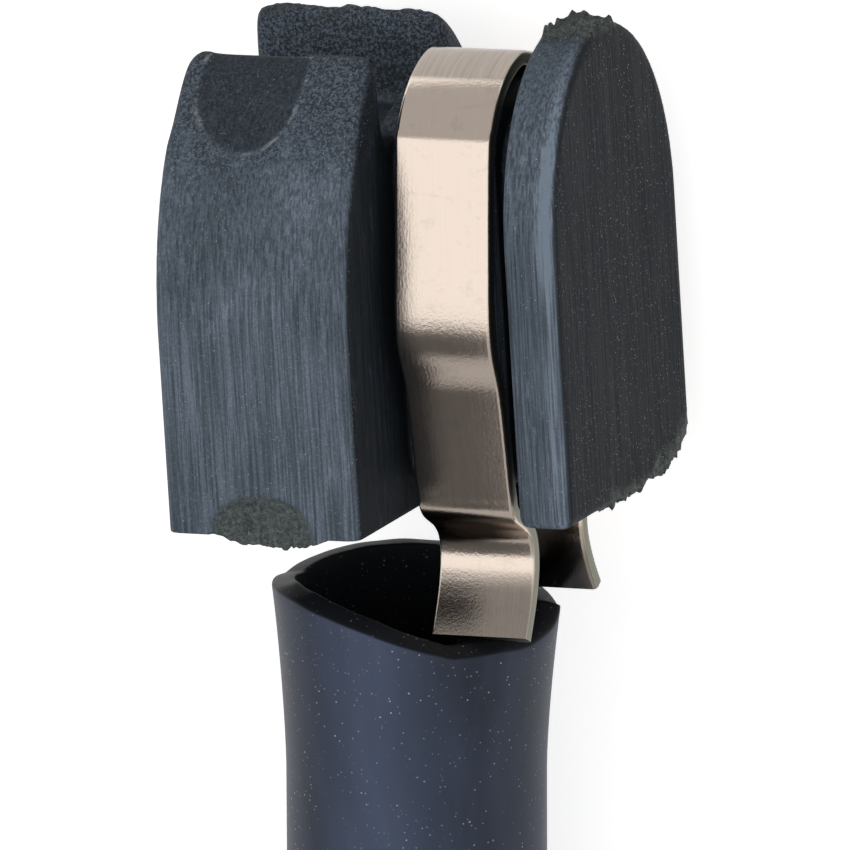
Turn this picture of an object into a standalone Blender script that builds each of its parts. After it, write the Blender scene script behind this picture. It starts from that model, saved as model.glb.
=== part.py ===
"""Brake pad wear sensor: a moulded sensing head with a bent spring clip, its hose, lead and plug.

The head is drawn in its own section plane and laid on its back.
  across   X, from the friction side (-X) to the thin arched plate (+X)
  depth    from the front (-) to the rear (+) of the head, which becomes -Z, so the front faces up
  height   up the head, from its foot to its nose, which becomes +Y
All sizes are in metres.
"""

import math

import bmesh
import bpy
from mathutils import Matrix, Vector

MM = 0.001

# Clearances
SEAT_GAP = 0.3 * MM
WIRE_CLEARANCE = 0.3 * MM
FLOOR_GAP = 0.02 * MM

# How far a cutting form runs past the face it cuts
CUT_MARGIN = 1.0 * MM

# Friction-side lobe, slotted across its nose
HEAD_WIDTH = 13.05 * MM
LOBE_WIDTH = 6.58 * MM
LOBE_HALF_DEPTH = 6.44 * MM
LOBE_BOTTOM = -0.23 * MM
LOBE_SHOULDER = 6.02 * MM
LOBE_TOP = 15.07 * MM
SLOT_FRONT = 2.53 * MM
SLOT_REAR = 1.9 * MM
SLOT_FLOOR = 11.77 * MM
LOBE_EDGE_RADIUS = 0.6 * MM
FOOT_TRIM = 2.0 * MM
ARCH_STEPS = 10

# Groove that takes the backing plate of the brake pad, with the web inside it and the land on the web
# that the spring clip straddles
GROOVE_WIDTH = 4.7 * MM
WEB_HALF_DEPTH = 2.1 * MM
WEB_BOTTOM = 0.75 * MM
WEB_TOP = 12.6 * MM
WEB_NOSE_HEIGHT = 2.2 * MM
LAND_HALF_DEPTH = 2.75 * MM
LAND_TOP = 13.45 * MM
LAND_NOSE_HEIGHT = 2.9 * MM
LAND_MARGIN = 0.3 * MM
WEB_FOOT_RADIUS = 0.8 * MM
WEB_ROOT_SHARE = 1.2

# Thin arched plate on the far side of the groove
PLATE_HALF_DEPTH = 4.85 * MM
PLATE_BOTTOM = 0.0
PLATE_SHOULDER = 8.8 * MM
PLATE_TOP = 15.06 * MM
PLATE_EDGE_RADIUS = 0.32 * MM
TEAR_WIDTH = 2.4 * MM
TEAR_HEIGHT = 0.75 * MM
SPRUE_HALF_DEPTH = 1.15 * MM
SPRUE_HEIGHT = 0.22 * MM
SPRUE_MARGIN = 0.2 * MM

# Marks that the mould left on the lobe
PIN_MARK_RADIUS = 1.82 * MM
PIN_MARK_FROM_FACE = 2.6 * MM
PIN_MARK_HEIGHT = 13.45 * MM
PIN_MARK_DEPTH = 0.1 * MM
SCAR_HALF_WIDTH = 1.8 * MM
SCAR_HEIGHT = 1.35 * MM
SCAR_DEPTH = 0.45 * MM
SCAR_FROM_FACE = 3.3 * MM

# Spring clip, one strip bent over the web
STRIP_WIDTH = 3.25 * MM
STRIP_THICKNESS = 0.5 * MM
STRIP_STEP = 0.45 * MM
CROWN_HALF_DEPTH = 3.9 * MM
CROWN_BASE = 9.9 * MM
CROWN_TOP = 14.31 * MM
CROWN_SQUARENESS = 2.2
CROWN_APEX = -0.7 * MM
CROWN_REAR_SLOPE = 0.3
BULGE = (4.42 * MM, 6.1 * MM)
KNEE = (3.9 * MM, 3.9 * MM)
ANKLE = (3.52 * MM, 0.55 * MM)
ANKLE_TURN = (3.3 * MM, -0.1 * MM)
WAIST_TURN = (2.3 * MM, -0.85 * MM)
WAIST = (2.13 * MM, -1.7 * MM)
TOE_TURN = (2.45 * MM, -2.75 * MM)
TOE = (3.1 * MM, -3.95 * MM)

# Conductors
LEAD_RADIUS = 0.6 * MM
LEAD_HALF_SPACING = 0.82 * MM
LEAD_ACROSS = 1.45 * MM
LEAD_BORE_TOP = 4.2 * MM
LEAD_TOP = 3.8 * MM
LEAD_STRAIGHT_HEIGHTS = (1.0 * MM, -2.5 * MM)
LEAD_SWAY = 0.4 * MM
LEAD_SWAY_HEIGHT = -6.0 * MM
LEAD_END_LENGTH = 2.5 * MM
LEAD_STEP = 1.2 * MM
SENSE_RADIUS = 0.3 * MM
SENSE_RISE = 8.6 * MM
SENSE_FROM_FACE = 2.0 * MM
SENSE_BEND = 1.6 * MM
SENSE_CHANNEL_EXTRA = 0.5 * MM

# Hose over the two conductors, pressed down where the rear foot of the clip reaches its lip
HOSE_RADIUS = 4.1 * MM
HOSE_WALL = 0.75 * MM
MOUTH_FLARE = 0.45 * MM
MOUTH_FLARE_LENGTH = 3.2 * MM
MOUTH_STEP = 1.0 * MM
MOUTH_STEPS = 5
RINGS_SKIPPED = 4
LIP_LENGTH = 0.25 * MM
DIP_DEPTH = 1.15 * MM
DIP_ANGLE = math.radians(-53.0)
DIP_HALF_ANGLE = math.radians(19.0)
DIP_FADE_ANGLE = math.radians(20.0)
DIP_LENGTH = 6.0 * MM
HOSE_SIDES = 28
HOSE_POINTS = [
    (-0.82 * MM, -9.31 * MM, 7.06 * MM),
    (-2.03 * MM, -18.1 * MM, 5.58 * MM),
    (-2.95 * MM, -26.5 * MM, 4.62 * MM),
    (-3.70 * MM, -35.5 * MM, 4.19 * MM),
    (-4.35 * MM, -46.0 * MM, 4.13 * MM),
    (-5.00 * MM, -60.5 * MM, 4.13 * MM),
]

# Jacketed two-core cable
CABLE_RADIUS = 2.1 * MM
CABLE_STEP = 9.0 * MM
CABLE_POINTS = [
    (-2.62 * MM, -23.0 * MM, 4.12 * MM),
    (-3.40 * MM, -31.5 * MM, 3.58 * MM),
    (-4.12 * MM, -42.0 * MM, 3.36 * MM),
    (-4.70 * MM, -52.5 * MM, 3.30 * MM),
    (-5.05 * MM, -60.5 * MM, 3.22 * MM),
    (-5.25 * MM, -65.5 * MM, 2.78 * MM),
]
COIL_CENTRE = (20.5 * MM, -81.5 * MM)
COIL_OUTER_RADIUS = 28.2 * MM
COIL_INNER_RADIUS = 16.3 * MM
COIL_HEIGHT = 8.4 * MM
COIL_EDGE_RADIUS = 2.0 * MM
TAIL_POINTS = [
    (46.4 * MM, -65.9 * MM, 6.10 * MM),
    (46.2 * MM, -61.5 * MM, 5.65 * MM),
    (46.0 * MM, -57.0 * MM, 5.20 * MM),
]

# Plug on the far end of the cable
PLUG_X = 46.0 * MM
PLUG_REAR = -51.0 * MM
PLUG_AXIS_Z = 5.05 * MM
PLUG_WIDTH = 11.0 * MM
PLUG_HEIGHT = 10.0 * MM
PLUG_LENGTH = 15.5 * MM
PLUG_CORNER = 1.6 * MM
NOSE_WIDTH = 8.6 * MM
NOSE_HEIGHT = 6.4 * MM
NOSE_LENGTH = 9.0 * MM
NOSE_CORNER = 1.4 * MM
SOCKET_DEPTH = 6.0 * MM
SOCKET_RADIUS = 3.6 * MM
GROMMET_RECESS = 2.0 * MM
CAVITY_SIZE = 2.3 * MM
CAVITY_HALF_SPACING = 2.0 * MM
CAVITY_DEPTH = 7.0 * MM
TERMINAL_WALL = 0.3 * MM
TERMINAL_LENGTH = 5.6 * MM
TERMINAL_FLOOR = 1.2 * MM
SEAL_WIDTH = 1.5 * MM
SEAL_THICKNESS = 0.6 * MM
LATCH_WIDTH = 4.2 * MM
LATCH_THICKNESS = 0.9 * MM
LATCH_LIFT = 1.2 * MM
LOCK_LENGTH = 3.0 * MM
LOCK_THICKNESS = 0.9 * MM
LOCK_EDGE_RADIUS = 0.2 * MM
LOCK_PLACE_SHARE = 0.4

# Worked out from the sizes above
HEAD_TOP = PLATE_TOP + SPRUE_HEIGHT
TOE_ANGLE = math.atan2(TOE[0] - TOE_TURN[0], TOE_TURN[1] - TOE[1])
HEAD_FOOT = TOE[1] - STRIP_THICKNESS * math.sin(TOE_ANGLE)
HEAD_MIDDLE = (HEAD_TOP + HEAD_FOOT) / 2
FRICTION_FACE = -HEAD_WIDTH / 2
LOBE_WALL = FRICTION_FACE + LOBE_WIDTH
PLATE_WALL = LOBE_WALL + GROOVE_WIDTH
GROOVE_MIDDLE = LOBE_WALL + GROOVE_WIDTH / 2
PLATE_FACE = HEAD_WIDTH / 2
TAIL_END = (PLUG_X, PLUG_REAR + GROMMET_RECESS - SEAT_GAP, PLUG_AXIS_Z)


def clear_scene():
    for item in list(bpy.data.objects):
        bpy.data.objects.remove(item)


def material(name, colour, roughness, metallic=0.0):
    made = bpy.data.materials.new(name)
    made.use_nodes = True
    shader = made.node_tree.nodes["Principled BSDF"]
    shader.inputs["Base Color"].default_value = (*colour, 1.0)
    shader.inputs["Roughness"].default_value = roughness
    shader.inputs["Metallic"].default_value = metallic
    return made


def head_point(across, depth, height):
    """A point of the head, laid on its back."""
    return Vector((across, height - HEAD_MIDDLE, LOBE_HALF_DEPTH - depth))


def add_object(name, mesh_data, finish, smooth_angle=35.0):
    mesh = bpy.data.meshes.new(name)
    bmesh.ops.recalc_face_normals(mesh_data, faces=mesh_data.faces)
    mesh_data.to_mesh(mesh)
    mesh_data.free()
    mesh.materials.append(finish)
    mesh.shade_smooth()
    mesh.set_sharp_from_angle(angle=math.radians(smooth_angle))
    made = bpy.data.objects.new(name, mesh)
    bpy.context.scene.collection.objects.link(made)
    return made


def as_cutter(item):
    item.hide_render = True
    item.display_type = "WIRE"
    return item


def combine(target, other, operation):
    step = target.modifiers.new(f"{operation.lower()}_{other.name}", "BOOLEAN")
    step.operation = operation
    step.solver = "EXACT"
    step.object = as_cutter(other)


def round_edges(item, radius, segments=3):
    step = item.modifiers.new("rounded_edges", "BEVEL")
    step.width = radius
    step.segments = segments
    step.limit_method = "ANGLE"
    step.angle_limit = math.radians(35.0)
    step.use_clamp_overlap = True


def prism(outline, low_across, high_across):
    """A section of the head, (depth, height) points, pushed out across the head."""
    made = bmesh.new()
    low = [made.verts.new(head_point(low_across, *point)) for point in outline]
    high = [made.verts.new(head_point(high_across, *point)) for point in outline]
    made.faces.new(low)
    made.faces.new(list(reversed(high)))
    count = len(outline)
    for index in range(count):
        after = (index + 1) % count
        made.faces.new((low[index], high[index], high[after], low[after]))
    return made


def arch(half_depth, base, top, start, end, steps):
    """Points on a half ellipse that stands on base, from one angle to another."""
    points = []
    for index in range(steps + 1):
        angle = start + (end - start) * index / steps
        points.append((half_depth * math.cos(angle), base + (top - base) * math.sin(angle)))
    return points


def lobe_outline():
    """The arch of the lobe with the slot across its nose."""
    rear_end = math.acos(SLOT_REAR / LOBE_HALF_DEPTH)
    front_start = math.pi - math.acos(SLOT_FRONT / LOBE_HALF_DEPTH)
    rear = arch(LOBE_HALF_DEPTH, LOBE_SHOULDER, LOBE_TOP, 0.0, rear_end, ARCH_STEPS)
    front = arch(LOBE_HALF_DEPTH, LOBE_SHOULDER, LOBE_TOP, front_start, math.pi, ARCH_STEPS)
    low = LOBE_BOTTOM - FOOT_TRIM
    foot = [(-LOBE_HALF_DEPTH, low), (LOBE_HALF_DEPTH, low)]
    slot = [(SLOT_REAR, SLOT_FLOOR), (-SLOT_FRONT, SLOT_FLOOR)]
    return foot + rear + slot + front


def foot_trim():
    """What is cut off below the lobe, so that the edges of its foot stay crisp."""
    low = LOBE_BOTTOM - 2 * FOOT_TRIM
    outline = [
        (-2 * LOBE_HALF_DEPTH, low),
        (2 * LOBE_HALF_DEPTH, low),
        (2 * LOBE_HALF_DEPTH, LOBE_BOTTOM),
        (-2 * LOBE_HALF_DEPTH, LOBE_BOTTOM),
    ]
    return prism(outline, FRICTION_FACE - FOOT_TRIM, LOBE_WALL + FOOT_TRIM)


def crown_drop(depth, height):
    """How far the rear of the clip's crown, and of the land under it, falls away behind the apex."""
    behind = max(0.0, depth - CROWN_APEX)
    share = max(0.0, (height - CROWN_BASE) / (CROWN_TOP - CROWN_BASE))
    return CROWN_REAR_SLOPE * behind * share


def web_outline(half_depth, top, nose_height):
    """The web or its land, rounded over at its nose and at its two foot corners."""
    nose = arch(half_depth, top - nose_height, top, 0.0, math.pi, 20)
    nose = [(depth, height - crown_drop(depth, height)) for depth, height in nose]
    corners = []
    for side, first in ((-1.0, math.pi), (1.0, 1.5 * math.pi)):
        for index in range(5):
            angle = first + 0.5 * math.pi * index / 4
            centre = side * (half_depth - WEB_FOOT_RADIUS)
            depth = centre + WEB_FOOT_RADIUS * math.cos(angle)
            height = WEB_BOTTOM + WEB_FOOT_RADIUS + WEB_FOOT_RADIUS * math.sin(angle)
            corners.append((depth, height))
    return corners + nose


def plate_outline():
    """The arched plate, with the corner that was torn off its foot."""
    tear_start = PLATE_HALF_DEPTH - TEAR_WIDTH
    foot = [(-PLATE_HALF_DEPTH, PLATE_BOTTOM), (tear_start, PLATE_BOTTOM)]
    ragged = []
    for along, up in ((0.3, 0.05), (0.45, 0.34), (0.7, 0.42), (0.85, 0.86)):
        ragged.append((tear_start + along * TEAR_WIDTH, PLATE_BOTTOM + up * TEAR_HEIGHT))
    rear = [(PLATE_HALF_DEPTH, PLATE_BOTTOM + TEAR_HEIGHT)]
    nose = arch(PLATE_HALF_DEPTH, PLATE_SHOULDER, PLATE_TOP, 0.0, math.pi, 36)
    return foot + ragged + rear + nose


def sprue_outline():
    """The low stub that the broken gate left on the nose of the plate, with its one torn peak."""
    base = PLATE_TOP - SPRUE_HEIGHT
    top = PLATE_TOP + SPRUE_HEIGHT
    return [
        (-SPRUE_HALF_DEPTH, base),
        (SPRUE_HALF_DEPTH, base),
        (0.8 * SPRUE_HALF_DEPTH, PLATE_TOP),
        (0.1 * SPRUE_HALF_DEPTH, PLATE_TOP),
        (-0.15 * SPRUE_HALF_DEPTH, top),
        (-0.4 * SPRUE_HALF_DEPTH, PLATE_TOP),
        (-0.9 * SPRUE_HALF_DEPTH, PLATE_TOP),
    ]


def smooth_curve(points, step):
    """Points a step apart on a smooth curve through the route's own points."""
    route = [Vector(point) for point in points]
    padded = [2 * route[0] - route[1]] + route + [2 * route[-1] - route[-2]]
    fine = []
    for index in range(1, len(padded) - 2):
        before, start, end, after = padded[index - 1 : index + 3]
        for part in range(24):
            t = part / 24
            fine.append(
                0.5
                * (
                    2 * start
                    + (end - before) * t
                    + (2 * before - 5 * start + 4 * end - after) * t**2
                    + (3 * start - before - 3 * end + after) * t**3
                )
            )
    fine.append(route[-1])
    travelled = [0.0]
    for first, second in zip(fine, fine[1:]):
        travelled.append(travelled[-1] + (second - first).length)
    count = max(2, round(travelled[-1] / step))
    spaced = []
    place = 0
    for index in range(count + 1):
        wanted = travelled[-1] * index / count
        while place < len(fine) - 2 and travelled[place + 1] < wanted:
            place += 1
        stretch = travelled[place + 1] - travelled[place]
        share = (wanted - travelled[place]) / stretch
        spaced.append(fine[place].lerp(fine[place + 1], min(1.0, share)))
    return spaced


def headings(points):
    """The direction of travel at each point of a route."""
    ways = []
    last = len(points) - 1
    for index in range(last + 1):
        ways.append((points[min(index + 1, last)] - points[max(index - 1, 0)]).normalized())
    return ways


def ring_frames(points):
    """Two directions square to the route at each point, carried along without twist."""
    ways = headings(points)
    side = ways[0].orthogonal().normalized()
    frames = []
    for way in ways:
        side = (side - way * side.dot(way)).normalized()
        frames.append((side, way.cross(side)))
    return frames


def tube(points, radius, sides):
    """A closed round bar along a route."""
    made = bmesh.new()
    rings = []
    for point, (side, other) in zip(points, ring_frames(points)):
        ring = []
        for index in range(sides):
            angle = 2 * math.pi * index / sides
            ring.append(made.verts.new(point + radius * (side * math.cos(angle) + other * math.sin(angle))))
        rings.append(ring)
    for first, second in zip(rings, rings[1:]):
        bmesh.ops.bridge_loops(made, edges=loop_edges(made, first) + loop_edges(made, second))
    made.faces.new(rings[0])
    made.faces.new(rings[-1])
    return made


def loop_edges(mesh_data, ring):
    edges = []
    for index, vert in enumerate(ring):
        after = ring[(index + 1) % len(ring)]
        edge = mesh_data.edges.get((vert, after))
        edges.append(edge or mesh_data.edges.new((vert, after)))
    return edges


def sense_route():
    """A hairpin of wire: up the web, across into the lobe near the friction face, and back."""
    inner = FRICTION_FACE + SENSE_FROM_FACE
    start = LEAD_TOP + SEAT_GAP
    leg = [(LEAD_ACROSS, start)]
    for index in range(9):
        angle = 0.5 * math.pi * index / 8
        across = LEAD_ACROSS - SENSE_BEND * (1 - math.cos(angle))
        height = SENSE_RISE - SENSE_BEND * (1 - math.sin(angle))
        leg.append((across, height))
    leg.append((inner + LEAD_HALF_SPACING, SENSE_RISE))
    front = [head_point(across, -LEAD_HALF_SPACING, height) for across, height in leg]
    hairpin = []
    for index in range(1, 12):
        angle = math.pi * index / 12
        across = inner + LEAD_HALF_SPACING - LEAD_HALF_SPACING * math.sin(angle)
        depth = -LEAD_HALF_SPACING * math.cos(angle)
        hairpin.append(head_point(across, depth, SENSE_RISE))
    rear = [head_point(across, LEAD_HALF_SPACING, height) for across, height in reversed(leg)]
    return front + hairpin + rear


def lead_bore_outline():
    """A round-ended bore for the two leads, as (across, depth) points."""
    radius = LEAD_RADIUS + WIRE_CLEARANCE
    points = []
    for centre, first in ((LEAD_HALF_SPACING, 0.0), (-LEAD_HALF_SPACING, math.pi)):
        for index in range(9):
            angle = first + math.pi * index / 8
            points.append((LEAD_ACROSS + radius * math.cos(angle), centre + radius * math.sin(angle)))
    return points


def lead_bore():
    made = bmesh.new()
    low = WEB_BOTTOM - CUT_MARGIN
    foot = [made.verts.new(head_point(across, depth, low)) for across, depth in lead_bore_outline()]
    face = made.faces.new(foot)
    pushed = bmesh.ops.extrude_face_region(made, geom=[face])
    moved = [item for item in pushed["geom"] if isinstance(item, bmesh.types.BMVert)]
    bmesh.ops.translate(made, verts=moved, vec=(0.0, LEAD_BORE_TOP - low, 0.0))
    return made


def scar_cutter():
    """A shallow scoop out of the lower front edge, where the gate was broken off."""
    made = bmesh.new()
    bmesh.ops.create_uvsphere(made, u_segments=24, v_segments=12, radius=1.0)
    size = Matrix.Diagonal((SCAR_HALF_WIDTH, SCAR_HEIGHT, SCAR_DEPTH, 1.0))
    place = Matrix.Translation(head_point(FRICTION_FACE + SCAR_FROM_FACE, -LOBE_HALF_DEPTH, LOBE_BOTTOM))
    bmesh.ops.transform(made, matrix=place @ size, verts=made.verts)
    return made


def pin_mark_cutter():
    """The skin of the lobe's arch, PIN_MARK_DEPTH thick, in front of the ejector pin."""
    made = bmesh.new()
    across = FRICTION_FACE + PIN_MARK_FROM_FACE
    start = head_point(across, -LOBE_HALF_DEPTH, PIN_MARK_HEIGHT)
    end = head_point(across, 0.0, PIN_MARK_HEIGHT)
    bmesh.ops.create_cone(
        made,
        cap_ends=True,
        segments=40,
        radius1=PIN_MARK_RADIUS,
        radius2=PIN_MARK_RADIUS,
        depth=(start - end).length,
    )
    bmesh.ops.translate(made, verts=made.verts, vec=(start + end) / 2)
    return made


def inner_arch():
    """The lobe's arch without its skin, which keeps the pin mark shallow."""
    return [(-LOBE_HALF_DEPTH, 0.0), (LOBE_HALF_DEPTH, 0.0)] + arch(
        LOBE_HALF_DEPTH - PIN_MARK_DEPTH,
        LOBE_SHOULDER,
        LOBE_TOP - PIN_MARK_DEPTH,
        0.0,
        math.pi,
        60,
    )


def make_sensor_body(finish):
    """The one moulding: lobe, web and arched plate."""
    body = add_object("sensor_body", prism(lobe_outline(), FRICTION_FACE, LOBE_WALL), finish)
    round_edges(body, LOBE_EDGE_RADIUS)
    combine(body, add_object("foot_trim_form", foot_trim(), finish), "DIFFERENCE")

    web_start = LOBE_WALL - WEB_ROOT_SHARE * LOBE_EDGE_RADIUS
    web_end = PLATE_WALL + WEB_ROOT_SHARE * PLATE_EDGE_RADIUS
    web_section = web_outline(WEB_HALF_DEPTH, WEB_TOP, WEB_NOSE_HEIGHT)
    web = add_object("web_form", prism(web_section, web_start, web_end), finish)
    land_section = web_outline(LAND_HALF_DEPTH, LAND_TOP, LAND_NOSE_HEIGHT)
    land_reach = STRIP_WIDTH / 2 - LAND_MARGIN
    land_form = prism(land_section, GROOVE_MIDDLE - land_reach, GROOVE_MIDDLE + land_reach)
    combine(web, add_object("land_form", land_form, finish), "UNION")
    plate = add_object("plate_form", prism(plate_outline(), PLATE_WALL, PLATE_FACE), finish)
    round_edges(plate, PLATE_EDGE_RADIUS, segments=2)
    sprue = add_object(
        "sprue_form",
        prism(sprue_outline(), PLATE_WALL + SPRUE_MARGIN, PLATE_FACE - SPRUE_MARGIN),
        finish,
    )
    combine(plate, sprue, "UNION")
    combine(web, plate, "UNION")
    combine(body, web, "UNION")

    combine(body, add_object("lead_bore_form", lead_bore(), finish), "DIFFERENCE")
    route = sense_route()
    start = route[0] - Vector((0.0, SENSE_CHANNEL_EXTRA, 0.0))
    end = route[-1] - Vector((0.0, SENSE_CHANNEL_EXTRA, 0.0))
    channel = tube([start] + route + [end], SENSE_RADIUS + WIRE_CLEARANCE, 12)
    combine(body, add_object("sense_channel_form", channel, finish), "DIFFERENCE")
    combine(body, add_object("gate_scar_form", scar_cutter(), finish), "DIFFERENCE")
    mark = add_object("pin_mark_form", pin_mark_cutter(), finish)
    core = add_object(
        "pin_mark_core_form",
        prism(inner_arch(), FRICTION_FACE - CUT_MARGIN, LOBE_WALL + CUT_MARGIN),
        finish,
    )
    combine(mark, core, "DIFFERENCE")
    combine(body, mark, "DIFFERENCE")
    return body


def clip_half_profile():
    """The outer face of the strip from the middle of its crown to its toe, as (depth, height)."""
    crown = []
    for index in range(13):
        angle = 0.5 * math.pi * (1 - index / 12)
        power = 2 / CROWN_SQUARENESS
        depth = CROWN_HALF_DEPTH * math.cos(angle) ** power
        height = CROWN_BASE + (CROWN_TOP - CROWN_BASE) * math.sin(angle) ** power
        crown.append(Vector((depth, height, 0.0)))
    stations = [BULGE, KNEE, ANKLE, ANKLE_TURN, WAIST_TURN, WAIST, TOE_TURN, TOE]
    leg = [crown[-1]] + [Vector((depth, height, 0.0)) for depth, height in stations]
    return crown[:-1] + smooth_curve(leg, STRIP_STEP)


def clip_outline():
    """Both faces of the bent strip as one closed outline."""
    half = clip_half_profile()
    whole = [Vector((-point.x, point.y, 0.0)) for point in reversed(half[1:])] + half
    for point in whole:
        point.y -= crown_drop(point.x, point.y)
    inner = []
    for point, way in zip(whole, headings(whole)):
        inward = Vector((way.y, -way.x, 0.0))
        inner.append(point + inward * STRIP_THICKNESS)
    return [(point.x, point.y) for point in whole + list(reversed(inner))]


def make_spring_clip(finish):
    outline = clip_outline()
    count = len(outline)
    made = bmesh.new()
    low = [made.verts.new(head_point(GROOVE_MIDDLE - STRIP_WIDTH / 2, *point)) for point in outline]
    high = [made.verts.new(head_point(GROOVE_MIDDLE + STRIP_WIDTH / 2, *point)) for point in outline]
    for index in range(count):
        after = (index + 1) % count
        made.faces.new((low[index], high[index], high[after], low[after]))
    for side in (low, high):
        for index in range(count // 2 - 1):
            across = count - 1 - index
            made.faces.new((side[index], side[index + 1], side[across - 1], side[across]))
    return add_object("spring_clip", made, finish)


def make_sensing_wire(finish):
    return add_object("sensing_wire", tube(sense_route(), SENSE_RADIUS, 10), finish)


def lead_route(side):
    """A lead from inside the web, down through the hose mouth to the cut end of the jacket."""
    depth = side * LEAD_HALF_SPACING
    cable_end = Vector(CABLE_POINTS[0])
    way = (Vector(CABLE_POINTS[1]) - cable_end).normalized()
    target = cable_end - way * SEAT_GAP + Vector((0.0, 0.0, -depth))
    points = [head_point(LEAD_ACROSS, depth, LEAD_TOP)]
    for height in LEAD_STRAIGHT_HEIGHTS:
        points.append(head_point(LEAD_ACROSS, depth, height))
    swayed = head_point(LEAD_ACROSS - LEAD_SWAY, depth, LEAD_SWAY_HEIGHT)
    points.append(swayed)
    points.append(target.lerp(swayed, 0.5))
    points.append(target - way * LEAD_END_LENGTH)
    points.append(target)
    return smooth_curve(points, LEAD_STEP)


def make_lead_wires(finish):
    for name, side in (("lead_wire_front", -1.0), ("lead_wire_rear", 1.0)):
        add_object(name, tube(lead_route(side), LEAD_RADIUS, 10), finish)


def hose_ring(made, point, frame, radius, dip):
    """One ring of the hose, with the part of it under the clip's foot moved dip along the hose."""
    side, other, way = frame
    ring = []
    for index in range(HOSE_SIDES):
        angle = 2 * math.pi * index / HOSE_SIDES
        out = radius * (side * math.cos(angle) + other * math.sin(angle))
        ring.append(made.verts.new(point + out + way * dip * dip_share(out)))
    return ring


def dip_share(out):
    """1 under the rear foot of the clip, fading to 0 on either side of it."""
    away = abs(math.atan2(out.z, out.x) - DIP_ANGLE)
    fade = min(1.0, max(0.0, (away - DIP_HALF_ANGLE) / DIP_FADE_ANGLE))
    return 1.0 - fade * fade * (3 - 2 * fade)


def hose_stations():
    """Points along the hose, close together at its mouth, each with its frame and its distance."""
    points = smooth_curve(HOSE_POINTS, MOUTH_STEP)
    ways = headings(points)
    step = (points[1] - points[0]).length
    stations = []
    for index, (point, pair, way) in enumerate(zip(points, ring_frames(points), ways)):
        at_mouth = index <= MOUTH_STEPS
        if at_mouth or index % RINGS_SKIPPED == 0 or index == len(points) - 1:
            stations.append((point, (*pair, way), index * step))
    return stations


def make_protective_hose(finish):
    """A rubber hose with a flared mouth, laid down to the surface."""
    made = bmesh.new()
    outer = []
    inner = []
    for point, frame, distance in hose_stations():
        flare = max(0.0, 1.0 - distance / MOUTH_FLARE_LENGTH)
        fade = max(0.0, 1.0 - distance / DIP_LENGTH)
        radius = HOSE_RADIUS + MOUTH_FLARE * flare * flare
        dip = DIP_DEPTH * fade * fade * (3 - 2 * fade)
        outer.append(hose_ring(made, point, frame, radius, dip))
        inner.append(hose_ring(made, point, frame, radius - HOSE_WALL, dip))
    way = (Vector(HOSE_POINTS[1]) - Vector(HOSE_POINTS[0])).normalized()
    for vert in outer[0]:
        vert.co += way * LIP_LENGTH
    for rings in (outer, inner):
        for first, second in zip(rings, rings[1:]):
            join_rings(made, first, second)
    join_rings(made, outer[0], inner[0])
    join_rings(made, outer[-1], inner[-1])
    return add_object("protective_hose", made, finish, 50.0)


def join_rings(mesh_data, first, second):
    count = len(first)
    for index in range(count):
        after = (index + 1) % count
        mesh_data.faces.new((first[index], first[after], second[after], second[index]))


def make_cord(name, route, step, finish):
    """A stretch of cable as a curve with a round bevel and filled caps."""
    points = smooth_curve(route, step)
    curve = bpy.data.curves.new(name, "CURVE")
    curve.dimensions = "3D"
    curve.bevel_depth = CABLE_RADIUS
    curve.bevel_resolution = 2
    curve.use_fill_caps = True
    spline = curve.splines.new("POLY")
    spline.points.add(len(points) - 1)
    for slot, point in zip(spline.points, points):
        slot.co = (*point, 1.0)
    curve.materials.append(finish)
    made = bpy.data.objects.new(name, curve)
    bpy.context.scene.collection.objects.link(made)
    return made


def make_cable_coil(finish):
    """The outer shape of the wound cable, turned about the coil's axis."""
    made = bmesh.new()
    bevel = COIL_EDGE_RADIUS
    low = FLOOR_GAP
    high = FLOOR_GAP + COIL_HEIGHT
    corners = (
        (COIL_OUTER_RADIUS - bevel, high - bevel, 0.5 * math.pi),
        (COIL_OUTER_RADIUS - bevel, low + bevel, 0.0),
        (COIL_INNER_RADIUS + bevel, low + bevel, -0.5 * math.pi),
        (COIL_INNER_RADIUS + bevel, high - bevel, -math.pi),
    )
    profile = []
    for radius, height, first in corners:
        for index in range(4):
            angle = first - 0.5 * math.pi * index / 3
            spot = (radius + bevel * math.cos(angle), 0.0, height + bevel * math.sin(angle))
            profile.append(made.verts.new(spot))
    edges = loop_edges(made, profile)
    bmesh.ops.spin(
        made,
        geom=profile + edges,
        angle=2 * math.pi,
        steps=48,
        axis=(0.0, 0.0, 1.0),
        cent=(0.0, 0.0, 0.0),
        use_merge=True,
    )
    bmesh.ops.translate(made, verts=made.verts, vec=(*COIL_CENTRE, 0.0))
    return add_object("cable_coil", made, finish, 50.0)


def rounded_block(width, height, length, corner, rear):
    """A block along the plug's axis with round long edges."""
    made = bmesh.new()
    outline = []
    for across, up, first in (
        (0.5, 0.5, 0.0),
        (-0.5, 0.5, 0.5 * math.pi),
        (-0.5, -0.5, math.pi),
        (0.5, -0.5, 1.5 * math.pi),
    ):
        for index in range(5):
            angle = first + 0.5 * math.pi * index / 4
            x = across * (width - 2 * corner) + corner * math.cos(angle)
            z = up * (height - 2 * corner) + corner * math.sin(angle)
            outline.append(made.verts.new((PLUG_X + x, rear, PLUG_AXIS_Z + z)))
    face = made.faces.new(outline)
    pushed = bmesh.ops.extrude_face_region(made, geom=[face])
    moved = [item for item in pushed["geom"] if isinstance(item, bmesh.types.BMVert)]
    bmesh.ops.translate(made, verts=moved, vec=(0.0, length, 0.0))
    return made


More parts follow.
